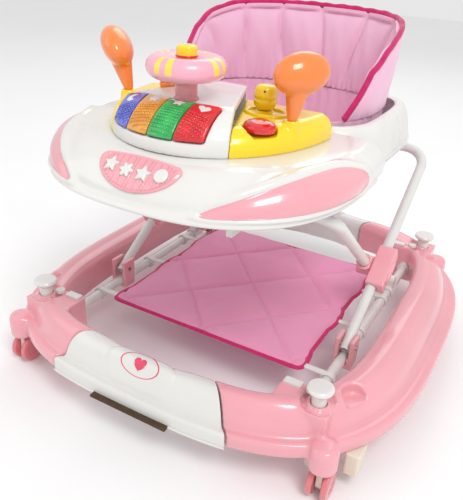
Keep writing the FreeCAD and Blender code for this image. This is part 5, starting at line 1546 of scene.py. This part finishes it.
def seat_bowl(cloth, binding):
    """Hanging seat: gathered at the top, two leg holes bound in magenta, low crotch."""
    sides = 168
    rows = 46
    verts = []
    uv = []
    low = SLING_LOW.z + 3 * MM
    for side in (1, -1):
        for j in range(rows):
            t = j / (rows - 1)
            for i in range(sides):
                a = 2 * math.pi * i / sides
                sag = math.sin(t * math.pi / 2)
                share = math.cos(t * math.pi / 2) ** 0.62
                half_w = (70 + 82 * share) * MM
                half_l = (60 + 63 * share) * MM
                if t > 0.86:
                    inner = (1 - t) / 0.14
                    half_w *= inner ** 0.5
                    half_l *= inner ** 0.5
                z = BOWL_TOP - (BOWL_TOP - low) * sag
                r = oval_radius(max(half_w, 1e-4), max(half_l, 1e-4), 2.5, a)
                gather = 2.2 * MM * math.sin(a * 44 + 2 * math.sin(3 * a)) * math.exp(-t / 0.28) * (t > 0.01)
                fold = 1.8 * MM * math.sin(a * 13 + 5 * t) * math.sin(math.pi * t)
                r += gather + fold + side * 1.6 * MM
                verts.append((r * math.cos(a), SEAT_CY + r * math.sin(a),
                              z - (side * 1.6 * MM if t > 0.86 else 0)))
                uv.append((a * 0.13, t * 0.3))
    faces = grid_faces(rows, sides, round_columns=True)
    half = rows * sides
    inside = [tuple(reversed([v + half for v in f])) for f in faces]
    rim = [(i, (i + 1) % sides, (i + 1) % sides + half, i + half) for i in range(sides)]
    ends = [tuple(range((rows - 1) * sides, rows * sides)),
            tuple(reversed(range(half + (rows - 1) * sides, half + rows * sides)))]
    bowl = outward(piece_from("sling_bowl", verts, faces + inside + rim + ends, cloth, uv))
    holes = []
    rings = []
    for sign in (1, -1):
        start = Vector((sign * LEG_HOLE_AT[0], *LEG_HOLE_AT[1:]))
        way = Vector((sign * LEG_HOLE_WAY[0], *LEG_HOLE_WAY[1:])).normalized()
        across = way.cross(Vector((0, 0, 1))).normalized()
        up = across.cross(way)
        cutter_verts = []
        for d in (-0.004, 0.19):
            for k in range(48):
                b = 2 * math.pi * k / 48
                cutter_verts.append(start + way * d + (across * math.cos(b) + up * math.sin(b))
                                    * LEG_HOLE_R)
        cutter = piece_from("leg_cutter", cutter_verts, grid_faces(2, 48, round_columns=True)
                            + [tuple(range(48)), tuple(reversed(range(48, 96)))], None)
        holes.append(outward(cutter))
        rings.append((start, way, across, up))
    tree = surface_of(bowl)
    cut = joined("leg_holes", holes)
    finished(bowl, ("BOOLEAN", {"operation": "DIFFERENCE", "object": cut, "solver": "MANIFOLD"}))
    bpy.data.objects.remove(cut)
    painted(bowl, cloth)
    shade(bowl, 70.0)
    for n, (start, way, across, up) in enumerate(rings):
        path = []
        for k in range(72):
            b = 2 * math.pi * k / 72
            spot = start + (across * math.cos(b) + up * math.sin(b)) * LEG_HOLE_R
            hit, _, _, _ = tree.ray_cast(spot, way)
            if hit is None:
                hit = tree.find_nearest(spot + way * 60 * MM)[0]
            path.append(tuple(hit))
        tape = tube("leg_hole_binding_" + str(n + 1), path, 6.5 * MM, binding, closed=True, up=tuple(way))
        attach(tape, "platform")
    stands_for(bowl, "seat_sling")


def vinyl_ring(vinyl):
    """White padded vinyl round the seat: rolled rim, vertical seams, creases and a double welt below."""
    rng = np.random.default_rng(23)
    sides = 360
    profile = ((402.5, 167, 137.0), (404.6, 170.5, 140.5), (403.5, 175, 145), (399.5, 179, 149),
               (392, 183, 151),
               (380, 187, 152.6), (367, 190, 153.4), (357, 191.6, 153.6), (351.5, 192, 153.4), (349.6, 191.0, 153.2),
               (348.2, 191.4, 153.4), (346.2, 190.6, 152.8), (345.8, 187.0, 150.0))
    outline = smooth_curve([(z, w, l) for z, w, l in profile], 46)
    seams = (0.62, 1.18, math.pi / 2, math.pi - 1.18, math.pi - 0.62, 2.9, 3.5, 4.0, 4.9, 5.5, 0.12)
    wave = [(rng.integers(9, 30), rng.uniform(0, 6.28), rng.uniform(3, 14)) for _ in range(9)]
    verts = []
    uv = []
    for side in (1, -1):
        for j, (z, w, l) in enumerate(outline):
            t = j / (len(outline) - 1)
            for i in range(sides):
                a = 2 * math.pi * i / sides
                near = min(abs((a - s + math.pi) % (2 * math.pi) - math.pi) for s in seams)
                groove = -2.0 * math.exp(-(near / 0.011) ** 2) + 0.7 * math.exp(-((near - 0.026) / 0.012) ** 2)
                ripple = sum(math.sin(n * a + p + k * t) for n, p, k in wave) / len(wave)
                pucker = 0.9 * math.exp(-near / 0.06) * math.sin(t * 70 + 9 * a)
                body = math.sin(math.pi * min(1, t * 1.12))
                off = (groove + 1.6 * ripple + pucker) * body
                r = oval_radius(w * MM, l * MM, 4.0, a) + (off if side > 0 else -3.2) * MM
                verts.append((r * math.cos(a), SEAT_CY + r * math.sin(a),
                              z * MM + (0.4 * ripple * MM if t < 0.3 else 0)))
                uv.append((a * 0.16, t * 0.07))
    rows = len(outline)
    faces = grid_faces(rows, sides, round_columns=True)
    half = rows * sides
    inside = [tuple(reversed([v + half for v in f])) for f in faces]
    top = [(i, (i + 1) % sides, (i + 1) % sides + half, i + half) for i in range(sides)]
    base = [(half - sides + i, 2 * half - sides + i, 2 * half - sides + (i + 1) % sides,
             half - sides + (i + 1) % sides)
            for i in range(sides)]
    ring = outward(piece_from("vinyl_seat_ring", verts, faces + inside + top + base, vinyl, uv))
    shade(ring, 60.0)
    stands_for(ring, "vinyl_skirt")
    for n, (z, w, l) in enumerate(((346.6, 191.8, 153.8), (351.4, 192.8, 154.4))):
        path = []
        for i in range(240):
            a = 2 * math.pi * i / 240
            r = oval_radius(w * MM, l * MM, 4.0, a)
            path.append((r * math.cos(a), SEAT_CY + r * math.sin(a), z * MM))
        welt = tube("vinyl_welt_" + str(n + 1), path, 3.4 * MM, vinyl, closed=True)
        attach(welt, "platform")


# ---------------------------------------------------------------- putting it together
SLOT_OF = {
    "rail_right": "tube_paint", "rail_left": "tube_paint", "rail_fittings": "white_plastic",
    "rail_sleeves": "white_plastic", "mat_clips": "white_plastic", "stair_pads": "cream_plastic",
    "friction_strips": "dark_grip", "leg_frame_a": "tube_paint", "leg_a_feet": "pink_plastic",
    "cross_sockets": "pink_plastic", "leg_frame_b": "tube_paint", "cross_clamps": "pink_plastic", "leg_b_pins": "steel",
    "foot_brackets": "pink_plastic", "fold_latch_right": "pink_plastic", "fold_latch_left": "pink_plastic",
    "leg_brackets": "white_plastic", "seat_ring": "white_plastic", "battery_door": "white_plastic",
    "sound_unit": "board",
}


ROUNDED = ("cross_clamps", "cross_sockets", "foot_brackets", "leg_a_feet", "rail_sleeves", "stair_pads",
           "mat_clips",
           "fold_latch_right", "fold_latch_left")


def raised_oval(node, finish, sign):
    """The latch button with the raised oval round it."""
    low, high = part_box(node)
    tree = surface_of(NODES["cross_clamps"], NODES[node])
    middle = (low + high) / 2
    path = []
    for k in range(60):
        a = 2 * math.pi * k / 60
        y, z = 20.5 * MM * math.cos(a), 9.8 * MM * math.sin(a)
        lean = math.radians(33.9)
        path.append(landed(tree, Vector((middle.x + sign * 30 * MM,
                                         middle.y + y * math.cos(lean) - z * math.sin(lean),
                                         middle.z + y * math.sin(lean) + z * math.cos(lean))),
                           Vector((-sign, 0, 0)), 0.3 * MM))
    ring = tube(node + "_surround", path, 3.0 * MM, finish, closed=True, up=(1, 0, 0))
    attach(ring, "frame_b")


def screws(finish):
    """Screw heads under the corner blocks."""
    points = []
    facing = []
    for sx in (1, -1):
        for y in (-262, -238, 238, 262):
            points.append((sx * 236 * MM, y * MM, 59.6 * MM))
            facing.append((0, 0, -1))
    base = point_mesh(points, facing, [(1, 0, 0)] * len(points))
    heads = grown("block_screws", screw_tree(), base, Head=6.0 * MM, Material=finish)
    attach(heads, "base")


def corner_runner(corner, pinks, white, cream):
    """Stopper knob, caster fork and twin wheels of one corner."""
    soft_edged("stopper_" + corner, white, 0.9, 4)
    soft_edged("caster_fork_" + corner, cream, 0.8, 3)
    soft_edged("caster_wheels_" + corner, pinks, 0.8, 3)


def camera_at():
    """Three-quarter view from the front right, slightly above the seat."""
    roll = math.radians(3.15)
    ahead = Vector((-0.4232, 0.7840, -0.4541)).normalized()
    right = Vector((0.8800, 0.4750, 0.0)).normalized()
    right = (right - ahead * right.dot(ahead)).normalized()
    up = right.cross(ahead)
    right2 = right * math.cos(roll) + up * math.sin(roll)
    up2 = up * math.cos(roll) - right * math.sin(roll)
    data = bpy.data.cameras.new("three_quarter")
    data.lens = 43.12
    data.sensor_width = 36.0
    data.sensor_fit = "AUTO"
    data.shift_x = -0.00158
    data.shift_y = -0.00742
    data.clip_start = 0.05
    made = bpy.data.objects.new("three_quarter", data)
    bpy.context.scene.collection.objects.link(made)
    made.matrix_world = Matrix(((right2.x, up2.x, -ahead.x, 0.40083), (right2.y, up2.y, -ahead.y, -0.82522),
                                (right2.z, up2.z, -ahead.z, 0.62283), (0, 0, 0, 1)))
    bpy.context.scene.camera = made


def studio():
    """Pale floor, soft sky and three large lamps."""
    paint = Paint("studio_floor", Roughness=0.9, Specular_IOR_Level=0.1)
    grain = paint.noise(3.0, 2.0)
    paint.set(Base_Color=paint.mix((0.93, 0.93, 0.93), (0.90, 0.90, 0.90), grain))
    floor = piece_from("studio_floor", [(-6, -6, 0), (6, -6, 0), (6, 6, 0), (-6, 6, 0)], [(0, 1, 2, 3)],
                       paint.material)
    world = bpy.data.worlds.new("soft_sky")
    world.use_nodes = True
    world.node_tree.nodes["Background"].inputs["Color"].default_value = (1.0, 1.0, 1.0, 1.0)
    world.node_tree.nodes["Background"].inputs["Strength"].default_value = 0.80
    bpy.context.scene.world = world
    for name, place, size, power in (("key_lamp", (1.3, -1.2, 2.3), 0.9, 30),
                                     ("fill_lamp", (-1.9, -1.4, 1.5), 1.6, 5),
                                     ("rim_lamp", (-0.6, 2.0, 2.1), 1.5, 10)):
        lamp = bpy.data.lights.new(name, "AREA")
        lamp.size = size
        lamp.energy = power
        made = bpy.data.objects.new(name, lamp)
        bpy.context.scene.collection.objects.link(made)
        made.location = place
        made.rotation_euler = (Vector((0, 0, 0.28)) - Vector(place)).to_track_quat("-Z", "Y").to_euler()
    bpy.context.scene.view_settings.view_transform = "Standard"
    bpy.context.scene.view_settings.look = "None"


def walker():
    """Everything that is seen, from the floor up."""
    pink = moulded("glossy_pink", PINK)
    white = moulded("glossy_white", WHITE, 0.93)
    cream = satin_plastic("cream_caster", CREAM)
    tube_paint = powder_coat("white_enamel", TUBE_WHITE)
    clip_white = satin_plastic("fitting_white", WHITE, 0.34)
    rivet = steel()
    dark = grip_rubber()
    yellow = moulded("glossy_yellow", YELLOW, 0.88)
    orange = moulded("glossy_orange", ORANGE, 0.86)
    clears = {colour: tinted_key("clear_" + colour, tint) for colour, tint in KEY_COLOURS.items()}
    red = clears["red"]
    mat_cloth = woven("quilted_rose_cloth", MAT_PINK)
    seat_cloth = woven("lilac_seat_cloth", LILAC)
    binding = binding_tape()
    vinyl = soft_vinyl()

    build_base(pink, printed_panel())
    shell = tray_shell(white)
    tree = surface_of(shell)
    headlights(tree, pink)
    badge(tree, pink, white)
    wings = console(white, yellow, moulded("column_pink", PINK_DEEP))
    piano_keys(clears, white)
    console_toys({"yellow": yellow, "orange": orange, "red": red, "dark": dark}, wings[0])
    finishes = {"tube_paint": tube_paint, "white_plastic": clip_white, "cream_plastic": cream,
                "dark_grip": dark,
                "steel": rivet, "pink_plastic": pink, "board": satin_plastic("green_board", (0.02, 0.16, 0.06))}
    for node, slot in SLOT_OF.items():
        if node in ROUNDED:
            soft_edged(node, finishes[slot], 1.1, 7)
        else:
            piece = crisp(node, finishes[slot], 32.0)
            if node == "friction_strips":
                co = points_of(piece)
                co[:, 2] = co[:, 2].max() - (co[:, 2].max() - co[:, 2]) * 0.45
                put_points(piece, co)
    raised_oval("fold_latch_right", pink, 1)
    raised_oval("fold_latch_left", pink, -1)
    screws(rivet)
    wheel_pink = moulded("wheel_pink", WHEEL_PINK)
    for corner in ("front_right", "front_left", "rear_right", "rear_left"):
        corner_runner(corner, wheel_pink, white, cream)
    floor_mat(mat_cloth, binding)
    seat_wall(seat_cloth, binding)
    seat_bowl(seat_cloth, binding)
    vinyl_ring(vinyl)


walker()
camera_at()
studio()
bpy.context.view_layer.update()
